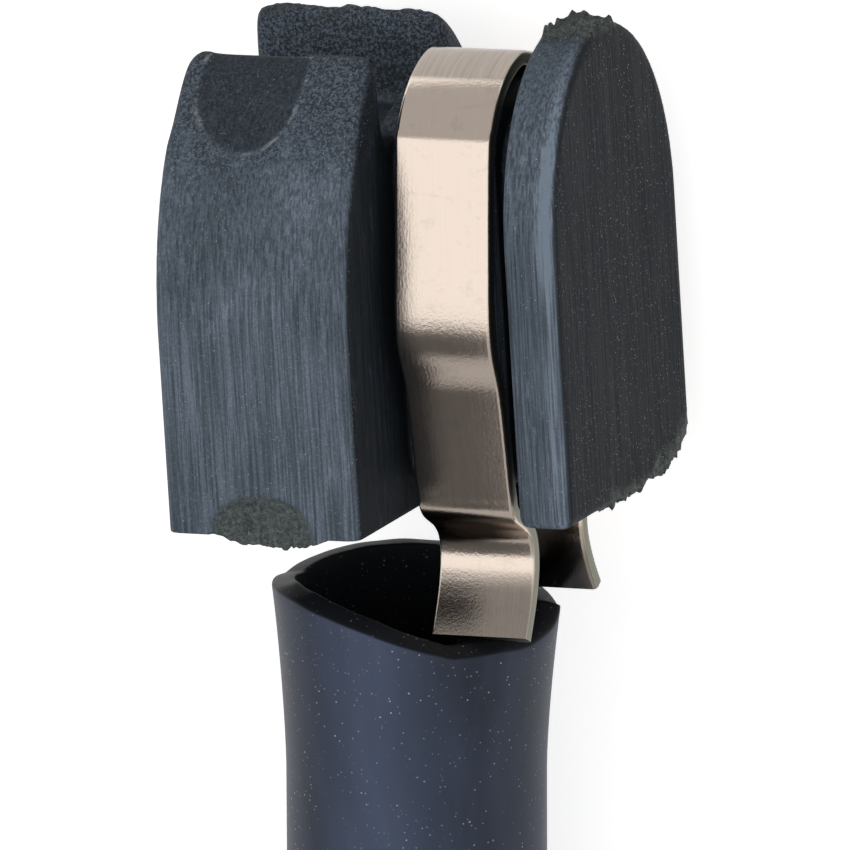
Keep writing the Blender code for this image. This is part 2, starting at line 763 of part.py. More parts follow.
def bar_along_plug(radius, rear, length):
    made = bmesh.new()
    bmesh.ops.create_cone(made, cap_ends=True, segments=32, radius1=radius, radius2=radius, depth=length)
    turn = Matrix.Rotation(0.5 * math.pi, 4, "X")
    place = Matrix.Translation((PLUG_X, rear + length / 2, PLUG_AXIS_Z))
    bmesh.ops.transform(made, matrix=place @ turn, verts=made.verts)
    return made


def box(width, length, height, centre):
    made = bmesh.new()
    bmesh.ops.create_cube(made, size=1.0)
    bmesh.ops.scale(made, vec=(width, length, height), verts=made.verts)
    bmesh.ops.translate(made, vec=centre, verts=made.verts)
    return made


def make_plug_housing(finish):
    """The plug's moulding: body, nose with two terminal cavities, and the latch over it."""
    front = PLUG_REAR + PLUG_LENGTH
    body = add_object(
        "plug_housing",
        rounded_block(PLUG_WIDTH, PLUG_HEIGHT, PLUG_LENGTH, PLUG_CORNER, PLUG_REAR),
        finish,
    )
    nose_rear = front - CUT_MARGIN
    nose_length = NOSE_LENGTH + CUT_MARGIN
    nose = add_object(
        "nose_form",
        rounded_block(NOSE_WIDTH, NOSE_HEIGHT, nose_length, NOSE_CORNER, nose_rear),
        finish,
    )
    combine(body, nose, "UNION")

    latch_z = PLUG_AXIS_Z + NOSE_HEIGHT / 2 + LATCH_LIFT + LATCH_THICKNESS / 2
    arm = box(
        LATCH_WIDTH,
        NOSE_LENGTH,
        LATCH_THICKNESS,
        (PLUG_X, nose_rear + NOSE_LENGTH / 2, latch_z),
    )
    combine(body, add_object("latch_form", arm, finish), "UNION")

    socket = bar_along_plug(SOCKET_RADIUS, PLUG_REAR - CUT_MARGIN, SOCKET_DEPTH + CUT_MARGIN)
    combine(body, add_object("rear_socket_form", socket, finish), "DIFFERENCE")
    for name, side in (("cavity_left_form", -1.0), ("cavity_right_form", 1.0)):
        centre = (
            PLUG_X + side * CAVITY_HALF_SPACING,
            front + NOSE_LENGTH - CAVITY_DEPTH / 2 + CUT_MARGIN / 2,
            PLUG_AXIS_Z,
        )
        cavity = box(CAVITY_SIZE, CAVITY_DEPTH + CUT_MARGIN, CAVITY_SIZE, centre)
        combine(body, add_object(name, cavity, finish), "DIFFERENCE")
    return body


def make_plug_terminals(finish):
    """Two box contacts, one in each cavity."""
    size = CAVITY_SIZE - 2 * SEAT_GAP
    hole = size - 2 * TERMINAL_WALL
    front = PLUG_REAR + PLUG_LENGTH + NOSE_LENGTH
    rear = front - CAVITY_DEPTH + SEAT_GAP
    for name, side in (("plug_terminal_left", -1.0), ("plug_terminal_right", 1.0)):
        x = PLUG_X + side * CAVITY_HALF_SPACING
        middle = rear + TERMINAL_LENGTH / 2
        contact = add_object(name, box(size, TERMINAL_LENGTH, size, (x, middle, PLUG_AXIS_Z)), finish)
        mouth = box(hole, TERMINAL_LENGTH, hole, (x, middle + TERMINAL_FLOOR, PLUG_AXIS_Z))
        combine(contact, add_object(f"{name}_form", mouth, finish), "DIFFERENCE")


def make_plug_seal(finish):
    """The rubber ring round the root of the nose."""
    rear = PLUG_REAR + PLUG_LENGTH + SEAT_GAP
    reach = SEAT_GAP + SEAL_THICKNESS
    outer = rounded_block(
        NOSE_WIDTH + 2 * reach,
        NOSE_HEIGHT + 2 * reach,
        SEAL_WIDTH,
        NOSE_CORNER + reach,
        rear,
    )
    inner = rounded_block(
        NOSE_WIDTH + 2 * SEAT_GAP,
        NOSE_HEIGHT + 2 * SEAT_GAP,
        SEAL_WIDTH + 2 * CUT_MARGIN,
        NOSE_CORNER + SEAT_GAP,
        rear - CUT_MARGIN,
    )
    seal = add_object("plug_nose_seal", outer, finish)
    combine(seal, add_object("nose_seal_form", inner, finish), "DIFFERENCE")


def make_cable_grommet(finish):
    """The rubber grommet that fills the rear socket round the cable."""
    length = SOCKET_DEPTH - SEAT_GAP
    grommet = add_object(
        "cable_grommet",
        bar_along_plug(SOCKET_RADIUS - SEAT_GAP, PLUG_REAR, length),
        finish,
    )
    hole = bar_along_plug(
        CABLE_RADIUS + SEAT_GAP, PLUG_REAR - CUT_MARGIN, GROMMET_RECESS + CUT_MARGIN
    )
    combine(grommet, add_object("grommet_form", hole, finish), "DIFFERENCE")


def make_plug_lock(finish):
    """The coloured slide that keeps the terminals in, laid across the top of the body."""
    top = PLUG_AXIS_Z + PLUG_HEIGHT / 2
    middle = PLUG_REAR + LOCK_PLACE_SHARE * PLUG_LENGTH
    slide = box(
        LATCH_WIDTH,
        LOCK_LENGTH,
        LOCK_THICKNESS,
        (PLUG_X, middle, top + SEAT_GAP + LOCK_THICKNESS / 2),
    )
    lock = add_object("plug_lock", slide, finish)
    round_edges(lock, LOCK_EDGE_RADIUS, segments=2)


def main():
    clear_scene()
    black_plastic = material("black_plastic", (0.02, 0.024, 0.034), 0.42)
    bright_bronze = material("bright_bronze", (0.62, 0.5, 0.4), 0.24, 1.0)
    copper = material("copper", (0.75, 0.36, 0.2), 0.3, 1.0)
    lead_insulation = material("lead_insulation", (0.03, 0.03, 0.035), 0.5)
    hose_rubber = material("hose_rubber", (0.016, 0.02, 0.032), 0.5)
    cable_jacket = material("cable_jacket", (0.022, 0.022, 0.026), 0.5)
    plug_plastic = material("plug_plastic", (0.03, 0.03, 0.034), 0.45)
    seal_rubber = material("seal_rubber", (0.5, 0.16, 0.05), 0.55)
    lock_plastic = material("lock_plastic", (0.55, 0.55, 0.52), 0.45)
    tinned_brass = material("tinned_brass", (0.75, 0.72, 0.62), 0.28, 1.0)

    make_sensor_body(black_plastic)
    make_spring_clip(bright_bronze)
    make_sensing_wire(copper)
    make_lead_wires(lead_insulation)
    make_protective_hose(hose_rubber)
    make_cord("cable", CABLE_POINTS, CABLE_STEP, cable_jacket)
    make_cable_coil(cable_jacket)
    make_cord("cable_tail", TAIL_POINTS + [TAIL_END], CABLE_STEP / 2, cable_jacket)
    make_plug_housing(plug_plastic)
    make_plug_terminals(tinned_brass)
    make_plug_seal(seal_rubber)
    make_cable_grommet(seal_rubber)
    make_plug_lock(lock_plastic)


main()
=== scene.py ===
# %% [markdown]
# # A brake pad wear sensor
# The real part is a black moulded head with a groove for the pad's backing plate, a bent spring clip in that
# groove, and a rubber hose that carries the lead away to a plug. The solids were made first and are loaded
# here as a fixed frame. This lesson dresses them: it gives each piece its finish, and it rebuilds the pieces
# whose real surface is finer than a plain solid.

import math

import bmesh
import bpy
import numpy as np
from mathutils import Matrix, Vector, noise


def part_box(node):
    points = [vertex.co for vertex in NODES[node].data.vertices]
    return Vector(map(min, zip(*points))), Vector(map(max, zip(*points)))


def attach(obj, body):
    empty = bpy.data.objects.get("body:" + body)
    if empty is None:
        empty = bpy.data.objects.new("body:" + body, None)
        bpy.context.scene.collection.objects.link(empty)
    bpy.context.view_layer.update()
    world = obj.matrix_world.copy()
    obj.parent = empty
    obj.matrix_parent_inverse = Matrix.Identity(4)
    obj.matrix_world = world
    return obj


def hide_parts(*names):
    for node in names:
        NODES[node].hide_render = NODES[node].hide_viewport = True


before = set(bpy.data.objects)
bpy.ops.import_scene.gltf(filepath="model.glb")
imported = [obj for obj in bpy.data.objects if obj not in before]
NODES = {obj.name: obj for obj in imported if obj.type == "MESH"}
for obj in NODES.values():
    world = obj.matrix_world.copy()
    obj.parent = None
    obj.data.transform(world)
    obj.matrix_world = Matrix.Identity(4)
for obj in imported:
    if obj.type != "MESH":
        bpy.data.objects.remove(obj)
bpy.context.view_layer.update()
MM = 0.001
SCENE = bpy.context.scene

# %% [markdown]
# ## The camera
# The photograph looks down on the head from its upper right. A long lens keeps the upright edges nearly
# parallel, as in a close-up taken from well away, so the camera stands far back and is narrow. Its three
# directions were measured from the corners of the head in the photograph.

# %% Place the camera
PHOTO_WIDTH = 850
PIXELS_PER_MM = 32.0
CAMERA_DISTANCE = 600 * MM
SENSOR_WIDTH = 36.0
CLIP_SHARES = (0.1, 10)
SIGHT_CENTRE = Vector((-0.425, -3.61, 6.44)) * MM
CAMERA_RIGHT = Vector((0.910, -0.0593, -0.4088)).normalized()
CAMERA_BACK = CAMERA_RIGHT.cross(Vector((-0.0439, 0.970, -0.2384))).normalized()
CAMERA_UP = CAMERA_BACK.cross(CAMERA_RIGHT)


def make_camera():
    data = bpy.data.cameras.new("camera")
    data.sensor_width = SENSOR_WIDTH
    view_width = PHOTO_WIDTH / PIXELS_PER_MM * MM
    data.lens = SENSOR_WIDTH * CAMERA_DISTANCE / view_width
    data.clip_start, data.clip_end = [share * CAMERA_DISTANCE for share in CLIP_SHARES]
    camera = bpy.data.objects.new("camera", data)
    turn = Matrix((CAMERA_RIGHT, CAMERA_UP, CAMERA_BACK)).transposed().to_4x4()
    camera.matrix_world = Matrix.Translation(SIGHT_CENTRE + CAMERA_BACK * CAMERA_DISTANCE) @ turn
    SCENE.collection.objects.link(camera)
    SCENE.camera = camera
    return camera


camera = make_camera()
print("camera lens", round(camera.data.lens), "mm")

# %% [markdown]
# ## Smooth routes
# The hose and the cable follow smooth curves through a few chosen points. A Catmull-Rom curve passes through
# every point that it is given, which makes it easy to place, and points spaced evenly along it give rings of
# even width.

# %% Curve helpers
CURVE_PARTS = 24
SHARP_ANGLE = math.radians(50)


def smooth_curve(points, step):
    """Points a step apart on a smooth curve through the route's own points."""
    route = [Vector(point) for point in points]
    padded = [2 * route[0] - route[1]] + route + [2 * route[-1] - route[-2]]
    fine = []
    for index in range(1, len(padded) - 2):
        before, start, end, after = padded[index - 1 : index + 3]
        for part in range(CURVE_PARTS):
            t = part / CURVE_PARTS
            square = 2 * before - 5 * start + 4 * end - after
            cube = 3 * start - before - 3 * end + after
            fine.append(0.5 * (2 * start + (end - before) * t + square * t**2 + cube * t**3))
    fine.append(route[-1])
    travelled = [0.0]
    for first, second in zip(fine, fine[1:]):
        travelled.append(travelled[-1] + (second - first).length)
    count = max(2, round(travelled[-1] / step))
    spaced = []
    place = 0
    for index in range(count + 1):
        wanted = travelled[-1] * index / count
        while place < len(fine) - 2 and travelled[place + 1] < wanted:
            place += 1
        share = (wanted - travelled[place]) / (travelled[place + 1] - travelled[place])
        spaced.append(fine[place].lerp(fine[place + 1], min(1.0, share)))
    return spaced


def headings(points):
    last = len(points) - 1
    return [
        (points[min(index + 1, last)] - points[max(index - 1, 0)]).normalized()
        for index in range(last + 1)
    ]


def ring_frames(points):
    """Two directions square to the route at each point, carried along without twist."""
    ways = headings(points)
    side = ways[0].orthogonal().normalized()
    frames = []
    for way in ways:
        side = (side - way * side.dot(way)).normalized()
        frames.append((side, way.cross(side)))
    return frames


def route_length(points):
    return sum((second - first).length for first, second in zip(points, points[1:]))


def ease(share):
    """0 to 1 with soft ends."""
    share = min(1.0, max(0.0, share))
    return share * share * (3 - 2 * share)


def link_mesh(name, mesh_data, finish):
    """An object from a bmesh, with its faces pointing out, its finish and its smooth shading."""
    mesh = bpy.data.meshes.new(name)
    bmesh.ops.recalc_face_normals(mesh_data, faces=mesh_data.faces)
    mesh_data.to_mesh(mesh)
    mesh_data.free()
    mesh.materials.append(finish)
    mesh.shade_smooth()
    mesh.set_sharp_from_angle(angle=SHARP_ANGLE)
    made = bpy.data.objects.new(name, mesh)
    SCENE.collection.objects.link(made)
    return made


# %% [markdown]
# ## Effects that the finishes share
# Dust, mould grain and scratches turn up on several materials, so each is a shader node group with named
# inputs. A group gives out only a mask or a height. The shader that uses it stays in each material.

# %% Node helpers


def new_group(name, inputs, outputs):
    """An empty shader group with its sockets, and its first and last nodes."""
    group = bpy.data.node_groups.new(name, "ShaderNodeTree")
    for label, value in inputs.items():
        socket = group.interface.new_socket(name=label, in_out="INPUT", socket_type="NodeSocketFloat")
        socket.default_value = value
    for label in outputs:
        group.interface.new_socket(name=label, in_out="OUTPUT", socket_type="NodeSocketFloat")
    return group, group.nodes.new("NodeGroupInput"), group.nodes.new("NodeGroupOutput")


def feed(tree, socket, value):
    """Gives a socket its value, which may be a number, a colour or another node's output."""
    if isinstance(value, bpy.types.NodeSocket):
        tree.links.new(value, socket)
    else:
        socket.default_value = value


def math_node(tree, operation, *values, clamp=False):
    node = tree.nodes.new("ShaderNodeMath")
    node.operation = operation
    node.use_clamp = clamp
    for socket, value in zip(node.inputs, values):
        feed(tree, socket, value)
    return node.outputs[0]


def product(tree, first, *others):
    """All the values multiplied."""
    for other in others:
        first = math_node(tree, "MULTIPLY", first, other)
    return first


def place_pattern(tree, stretch):
    """Object coordinates in millimetres, each axis multiplied by its own stretch."""
    where = tree.nodes.new("ShaderNodeTexCoord")
    mapping = tree.nodes.new("ShaderNodeMapping")
    mapping.inputs["Scale"].default_value = [value / MM for value in stretch]
    tree.links.new(where.outputs["Object"], mapping.inputs["Vector"])
    return mapping.outputs["Vector"]


def noise_node(tree, vector, scale, detail=3.0, roughness=0.55):
    node = tree.nodes.new("ShaderNodeTexNoise")
    node.inputs["Detail"].default_value = detail
    node.inputs["Roughness"].default_value = roughness
    tree.links.new(vector, node.inputs["Vector"])
    feed(tree, node.inputs["Scale"], scale)
    return node.outputs["Fac"]


def soft_step(tree, value, low, high):
    """0 below low, 1 above high, smooth between."""
    node = tree.nodes.new("ShaderNodeMapRange")
    node.interpolation_type = "SMOOTHSTEP"
    for label, given in (("Value", value), ("From Min", low), ("From Max", high)):
        feed(tree, node.inputs[label], given)
    return node.outputs["Result"]


# %% [markdown]
# Dust on the real part is a scatter of pale specks a few hundredths of a millimetre across. A Voronoi texture
# gives one random point per cell. Each cell also has a random value, which decides whether its point is a
# speck at all, so the specks don't look evenly spread.

# %% Dust group
SMALLEST_SPECK = 0.02
SPECK_SHARPNESS = 30.0
CLUMPS_PER_MM = 0.55
CLUMP_EDGES = (0.38, 0.66)
BETWEEN_CLUMPS = 0.35
FAINTEST_SPECK = 0.25


def make_dust_group():
    inputs = {"Specks per mm": 6.0, "Speck size": 0.12, "Share": 0.3}
    group, start, end = new_group("dust_specks", inputs, ["Mask"])
    vector = place_pattern(group, (1, 1, 1))
    cells = group.nodes.new("ShaderNodeTexVoronoi")
    group.links.new(vector, cells.inputs["Vector"])
    group.links.new(start.outputs["Specks per mm"], cells.inputs["Scale"])
    parts = group.nodes.new("ShaderNodeSeparateColor")
    group.links.new(cells.outputs["Color"], parts.inputs["Color"])
    red, green, blue = parts.outputs
    chosen = math_node(group, "LESS_THAN", red, start.outputs["Share"])
    radius = math_node(group, "MULTIPLY_ADD", green, start.outputs["Speck size"], SMALLEST_SPECK)
    inside = math_node(group, "SUBTRACT", radius, cells.outputs["Distance"])
    sharp = math_node(group, "MULTIPLY", inside, SPECK_SHARPNESS, clamp=True)
    clumps = soft_step(group, noise_node(group, vector, CLUMPS_PER_MM), *CLUMP_EDGES)
    crowd = math_node(group, "MULTIPLY_ADD", clumps, 1 - BETWEEN_CLUMPS, BETWEEN_CLUMPS)
    brightness = math_node(group, "MULTIPLY_ADD", blue, 1 - FAINTEST_SPECK, FAINTEST_SPECK)
    group.links.new(product(group, sharp, chosen, crowd, brightness), end.inputs["Mask"])
    return group


DUST = make_dust_group()
print("dust group:", len(DUST.nodes), "nodes")

# %% [markdown]
# Brushing and scratches are noise that is stretched a long way in one direction. The head was rubbed along
# its height, which is Y here, so the pattern changes quickly across and slowly along Y. Two layers are mixed:
# a dense fine one, and a few strong scratches that stand out.

# %% Scratch group
FINE_STRETCH = (1, 0.018, 0.6)
FINE_EDGES = (0.36, 0.64)
STRONG_STRETCH = (1, 0.16, 1)
STRONG_PER_MM = 3.2
STRONG_EDGES = (0.56, 0.7)


def make_scratch_group():
    inputs = {"Lines per mm": 8.0, "Strong lines": 0.5}
    group, start, end = new_group("rubbed_lines", inputs, ["Height", "Lines"])
    along, slowly = [place_pattern(group, stretch) for stretch in (FINE_STRETCH, STRONG_STRETCH)]
    dense = noise_node(group, along, start.outputs["Lines per mm"], detail=4.0, roughness=0.7)
    strong = noise_node(group, slowly, STRONG_PER_MM, detail=5.0, roughness=0.75)
    marks = soft_step(group, strong, *STRONG_EDGES)
    fine = soft_step(group, dense, *FINE_EDGES)
    height = math_node(group, "MULTIPLY_ADD", marks, start.outputs["Strong lines"], fine)
    group.links.new(height, end.inputs["Height"])
    group.links.new(marks, end.inputs["Lines"])
    return group


SCRATCHES = make_scratch_group()
print("scratch group:", len(SCRATCHES.nodes), "nodes")

# %% [markdown]
# The mould for the head was spark-eroded, which leaves a pebbled skin. Two scales of noise give it: pebbles
# about a tenth of a millimetre across, and a finer tooth over them. The group gives their height, and where
# the tops are: the finish paints the tops paler and the hollows darker, partly because rubbing turns the tops
# pale first and partly as painted light and shade on the pebbles.

# %% Grain group
TOOTH_FINENESS = 2.4
TOP_EDGES = (-0.12, 0.2)


def make_grain_group():
    inputs = {"Pebbles per mm": 3.2, "Tooth": 0.35}
    group, start, end = new_group("mould_grain", inputs, ["Height", "Tops"])
    vector = place_pattern(group, (1, 1, 1))
    pebbles = noise_node(group, vector, start.outputs["Pebbles per mm"], detail=2.0, roughness=0.6)
    tooth_scale = product(group, start.outputs["Pebbles per mm"], TOOTH_FINENESS)
    tooth = noise_node(group, vector, tooth_scale, detail=2.0, roughness=0.6)
    height = math_node(group, "MULTIPLY_ADD", tooth, start.outputs["Tooth"], pebbles)
    group.links.new(height, end.inputs["Height"])
    middle = math_node(group, "MULTIPLY_ADD", start.outputs["Tooth"], 0.5, 0.5)
    above = math_node(group, "SUBTRACT", height, middle)
    group.links.new(soft_step(group, above, *TOP_EDGES), end.inputs["Tops"])
    return group


GRAIN = make_grain_group()
print("grain group:", len(GRAIN.nodes), "nodes")

# %% [markdown]
# Each finish is a Principled shader with a few nodes in front of it. A small class keeps a material, its
# nodes and its shader together, so that a finish below reads as a list of what is on the surface.

# %% Material helpers


class Finish:
    """A material with its Principled shader, and short ways to add to it."""

    def __init__(self, name, metallic=0.0, specular=0.5):
        self.material = bpy.data.materials.new(name)
        self.material.use_nodes = True
        self.tree = self.material.node_tree
        self.shader = self.tree.nodes["Principled BSDF"]
        self.shader.inputs["Metallic"].default_value = metallic
        self.shader.inputs["Specular IOR Level"].default_value = specular

    def group(self, group, **values):
        node = self.tree.nodes.new("ShaderNodeGroup")
        node.node_tree = group
        for label, value in values.items():
            node.inputs[label.replace("_", " ")].default_value = value
        return node

    def mix(self, mask, first, second):
        """A colour between two. A Mix node's colours are its inputs 6 and 7 and its output 2."""
        node = self.tree.nodes.new("ShaderNodeMix")
        node.data_type = "RGBA"
        feed(self.tree, node.inputs["Factor"], mask)
        for socket, value in zip(node.inputs[6:8], (first, second)):
            feed(self.tree, socket, (*value, 1.0) if isinstance(value, (tuple, list)) else value)
        return node.outputs[2]

    def colour(self, socket):
        self.tree.links.new(socket, self.shader.inputs["Base Color"])

    def roughness(self, socket):
        self.tree.links.new(socket, self.shader.inputs["Roughness"])

    def bump(self, height, depth, strength=1.0):
        """A bump of the given depth in metres, over any that was added before it."""
        node = self.tree.nodes.new("ShaderNodeBump")
        node.inputs["Distance"].default_value = depth
        feed(self.tree, node.inputs["Strength"], strength)
        self.tree.links.new(height, node.inputs["Height"])
        before = self.shader.inputs["Normal"].links
        if before:
            self.tree.links.new(before[0].from_socket, node.inputs["Normal"])
        self.tree.links.new(node.outputs["Normal"], self.shader.inputs["Normal"])

    def attribute(self, name):
        node = self.tree.nodes.new("ShaderNodeAttribute")
        node.attribute_name = name
        return node.outputs["Fac"]


def spread(finish, value, low, high):
    """A 0 to 1 value moved to the range from low to high."""
    node = finish.tree.nodes.new("ShaderNodeMapRange")
    node.inputs["To Min"].default_value = low
    node.inputs["To Max"].default_value = high
    finish.tree.links.new(value, node.inputs["Value"])
    return node.outputs["Result"]


def blend(tree, share, first, second):
    """A number between two others."""
    node = tree.nodes.new("ShaderNodeMix")
    for label, value in (("Factor", share), ("A", first), ("B", second)):
        feed(tree, node.inputs[label], value)
    return node.outputs["Result"]


# %% [markdown]
# ## Head plastic
# Glass-filled plastic is a bluish black that has gone pale where it was rubbed. The front faces are brushed,
# the nose and the rear of the slot keep the mould's grain, and the place where the gate broke off is rough
# and greyish green. Part of the paleness is painted light: faces turned up to the light are painted paler,
# the sides are painted darker as painted shade, and a painted highlight runs along the plate's edge. The
# mesh carries those places as attributes, painted when the head is made.

# %% Head finish
PLASTIC_DARK = (0.010, 0.012, 0.015)
PLASTIC_RUBBED_AND_LIT = (0.23, 0.285, 0.355)
PLASTIC_TORN = (0.165, 0.19, 0.175)
FLASH_COLOUR = (0.42, 0.45, 0.46)
DUST_COLOUR = (0.62, 0.64, 0.66)
PLASTIC_SPECULAR = 0.06
CLOUDS_PER_MM = 0.35
CLOUD_STRETCH = (1, 0.5, 1)
BRUSHED_TONES = (0.34, 0.92)
CLOUDY_TONES = (0.3, 1.75)
FINE_TONES = (0.88, 1.06)
PEBBLE_TONES = (0.16, 0.88)
LUMPS_PER_MM = 6.0
LUMP_TONES = (-0.75, 2.05)
LUMP_FINE_TONES = (0.5, 1.0)
FAINTEST_LUMP = 0.06
RUBBED_AND_LIT_WHERE_TORN = 0.25
SCRATCH_TONE = 0.09
PLASTIC_ROUGHNESS = (0.42, 0.6)
LINE_DEPTH = 0.012 * MM
LINE_STRENGTH = 0.6
GRAIN_DEPTH = 0.06 * MM
DUST_HEIGHT = 0.01 * MM


def make_head_finish():
    finish = Finish("head_plastic_finish", specular=PLASTIC_SPECULAR)
    tree = finish.tree
    rubbed_and_lit, grainy, torn, flash = [finish.attribute(name) for name in ("rubbed_and_lit", "grainy", "torn", "flash")]
    lines = finish.group(SCRATCHES, Lines_per_mm=13.0, Strong_lines=0.6)
    grain = finish.group(GRAIN, Pebbles_per_mm=10.0, Tooth=0.8)
    dust = finish.group(DUST, Specks_per_mm=12.0, Speck_size=0.24, Share=0.4).outputs["Mask"]
    height, tops = lines.outputs["Height"], grain.outputs["Tops"]
    clouds = noise_node(tree, place_pattern(tree, CLOUD_STRETCH), CLOUDS_PER_MM)
    clouds = spread(finish, clouds, *CLOUDY_TONES)
    brushed = product(tree, spread(finish, height, *BRUSHED_TONES), clouds, spread(finish, tops, *FINE_TONES))
    # painted light and shade on the pebbles: tops painted paler and hollows darker, besides the pale of
    # rubbing
    tone = blend(tree, grainy, brushed, spread(finish, tops, *PEBBLE_TONES))
    # wear plus painted light: paler on faces turned up to the light, darker painted shade on the sides
    worn_and_lit = product(tree, tone, rubbed_and_lit, spread(finish, torn, 1.0, RUBBED_AND_LIT_WHERE_TORN))
    worn_and_lit = math_node(tree, "MULTIPLY_ADD", lines.outputs["Lines"], SCRATCH_TONE, worn_and_lit, clamp=True)
    lumps = noise_node(tree, place_pattern(tree, (1, 1, 1)), LUMPS_PER_MM, detail=4.0, roughness=0.7)
    lumps = product(tree, spread(finish, lumps, *LUMP_TONES), spread(finish, tops, *LUMP_FINE_TONES))
    lumps = math_node(tree, "MAXIMUM", lumps, FAINTEST_LUMP)
    body = finish.mix(worn_and_lit, PLASTIC_DARK, PLASTIC_RUBBED_AND_LIT)
    body = finish.mix(math_node(tree, "MULTIPLY", torn, lumps, clamp=True), body, PLASTIC_TORN)
    body = finish.mix(flash, body, FLASH_COLOUR)
    finish.colour(finish.mix(dust, body, DUST_COLOUR))
    finish.roughness(spread(finish, height, *PLASTIC_ROUGHNESS))
    finish.bump(height, LINE_DEPTH, LINE_STRENGTH)
    finish.bump(grain.outputs["Height"], GRAIN_DEPTH, grainy)
    finish.bump(dust, DUST_HEIGHT)
    return finish.material


HEAD_FINISH = make_head_finish()
print("head finish:", len(HEAD_FINISH.node_tree.nodes), "nodes")

# %% [markdown]
# ## Rubber
# The hose is smooth black rubber with a blue cast, dusted all over. A pale sheen runs down it where it faces
# the light: a painted highlight in its colour. The cut lip is matt black, and the same black is painted over
# the inside wall as painted shade. The cable's jacket is the same kind of black, a little greyer.
# The noise is stretched along Y, the way that the hose runs, like the faint lines from extrusion.

# %% Rubber finishes
RUBBER_BLACK = (0.026, 0.031, 0.042)
RUBBER_PALE = (0.100, 0.128, 0.205)
RUBBER_CUT_AND_INNER_SHADE = (0.012, 0.014, 0.018)
JACKET_BLACK = (0.022, 0.022, 0.026)
JACKET_PALE = (0.05, 0.05, 0.055)
RUBBER_SPECULAR = 0.1
RUBBER_STRETCH = (1, 0.08, 1)
STREAKS_PER_MM = 0.8
RUBBER_PORES_PER_MM = 14.0
RUBBER_CLOUDS = (-0.1, 0.5)
PAINTED_SHEEN_TONE = 0.6
DUST_ON_CUT = 0.45
RUBBER_GLOSS = (-0.08, 0.1)
RUBBER_TEXTURE = 0.006 * MM


def make_rubber_finish(name, dark, pale, roughness, dust_share):
    finish = Finish(name, specular=RUBBER_SPECULAR)
    tree = finish.tree
    cut_and_inner_shade = finish.attribute("cut_and_inner_shade")
    cloudy = noise_node(tree, place_pattern(tree, RUBBER_STRETCH), STREAKS_PER_MM, detail=4.0, roughness=0.5)
    fine = noise_node(tree, place_pattern(tree, (1, 1, 1)), RUBBER_PORES_PER_MM, detail=2.0, roughness=0.6)
    dust = finish.group(DUST, Specks_per_mm=7.5, Speck_size=0.25, Share=dust_share).outputs["Mask"]
    clouds = spread(finish, cloudy, *RUBBER_CLOUDS)
    # painted highlight: the sheen is painted into the colour along the side that faces the light
    lit = math_node(tree, "MULTIPLY_ADD", finish.attribute("sheen"), PAINTED_SHEEN_TONE, clouds)
    body = finish.mix(math_node(tree, "MINIMUM", lit, 1.0), dark, pale)
    # the cut lip's own matt black, which is also painted over the inside wall as painted shade
    body = finish.mix(cut_and_inner_shade, body, RUBBER_CUT_AND_INNER_SHADE)
    settled = product(tree, dust, spread(finish, cut_and_inner_shade, 1.0, DUST_ON_CUT))
    finish.colour(finish.mix(settled, body, DUST_COLOUR))
    finish.roughness(spread(finish, cloudy, *[roughness + change for change in RUBBER_GLOSS]))
    finish.bump(fine, RUBBER_TEXTURE)
    finish.bump(dust, DUST_HEIGHT)
    return finish.material


HOSE_FINISH = make_rubber_finish("hose_rubber_finish", RUBBER_BLACK, RUBBER_PALE, 0.42, 0.5)
JACKET_FINISH = make_rubber_finish("cable_jacket_finish", JACKET_BLACK, JACKET_PALE, 0.5, 0.04)
print("rubber finishes:", HOSE_FINISH.name, "and", JACKET_FINISH.name)

# %% [markdown]
# ## The hose
# The hose is a cord: a fixed length of something flexible. It starts at a flared mouth just below the head,
# settles down to the surface and ends outside the picture, where the cable comes out of it. Its rings are
# turned about one smooth route. The mouth was cut aslant by hand, so the lip lies further along the hose on
# one side than on the other. It is flat and slightly wavy, and it dips where the clip's rear foot reaches in.

# %% Hose sizes
HOSE_RADIUS = 4.1 * MM
HOSE_WALL = 0.75 * MM
HOSE_SIDES = 128
HOSE_STEP = 0.5 * MM
MOUTH_FLARE = 0.43 * MM
MOUTH_FLARE_LENGTH = 5.5 * MM
MOUTH_FLARE_POWER = 1.5
DIP_DEPTH = 0.5 * MM
DIP_ANGLE = math.radians(-53.0)
DIP_HALF_ANGLE = math.radians(19.0)
DIP_FADE_ANGLE = math.radians(14.0)
DIP_LENGTH = 6.0 * MM
LIP_WAVE = 0.04 * MM
LIP_WAVES_PER_MM = 0.9
LIP_WAVE_SEED = Vector((0, 0, 7))
# Where and how wide the painted sheen lies across the hose
SHEEN_SIDE = 0.1
SHEEN_WIDTH = 0.42
# The lip's section, from the outside to the inside: how far along the hose and how deep in its wall, in mm
LIP_SECTION = [(0.10, 0.0), (0.03, 0.02), (0.0, 0.07), (-0.04, 0.2), (-0.08, 0.38), (-0.12, 0.55)]
LIP_SECTION += [(-0.14, 0.68), (-0.12, 0.73), (-0.05, 0.75)]
# The slant of the cut: how far along the hose the lip lies at each angle round it, in degrees and mm
LIP_SHAPE = [(-180, -0.3), (-128, -0.19), (-90, -0.1), (-24, -0.15), (-8, 0.03), (14, 0.0), (26, -0.16)]
LIP_SHAPE += [(40, -0.28), (48, -0.3), (52, -0.3), (57, -0.46), (72, -0.8), (86, -1.12), (104, -1.34)]
LIP_SHAPE += [(122, -1.4), (140, -1.22), (160, -0.78), (180, -0.3)]
HOSE_POINTS = [
    (-0.82 * MM, -9.31 * MM, 7.06 * MM),
    (-2.03 * MM, -18.1 * MM, 5.58 * MM),
    (-2.95 * MM, -26.5 * MM, 4.62 * MM),
    (-3.70 * MM, -35.5 * MM, 4.19 * MM),
    (-4.35 * MM, -46.0 * MM, 4.13 * MM),
    (-5.00 * MM, -60.5 * MM, 4.13 * MM),
]

# %% Make the hose


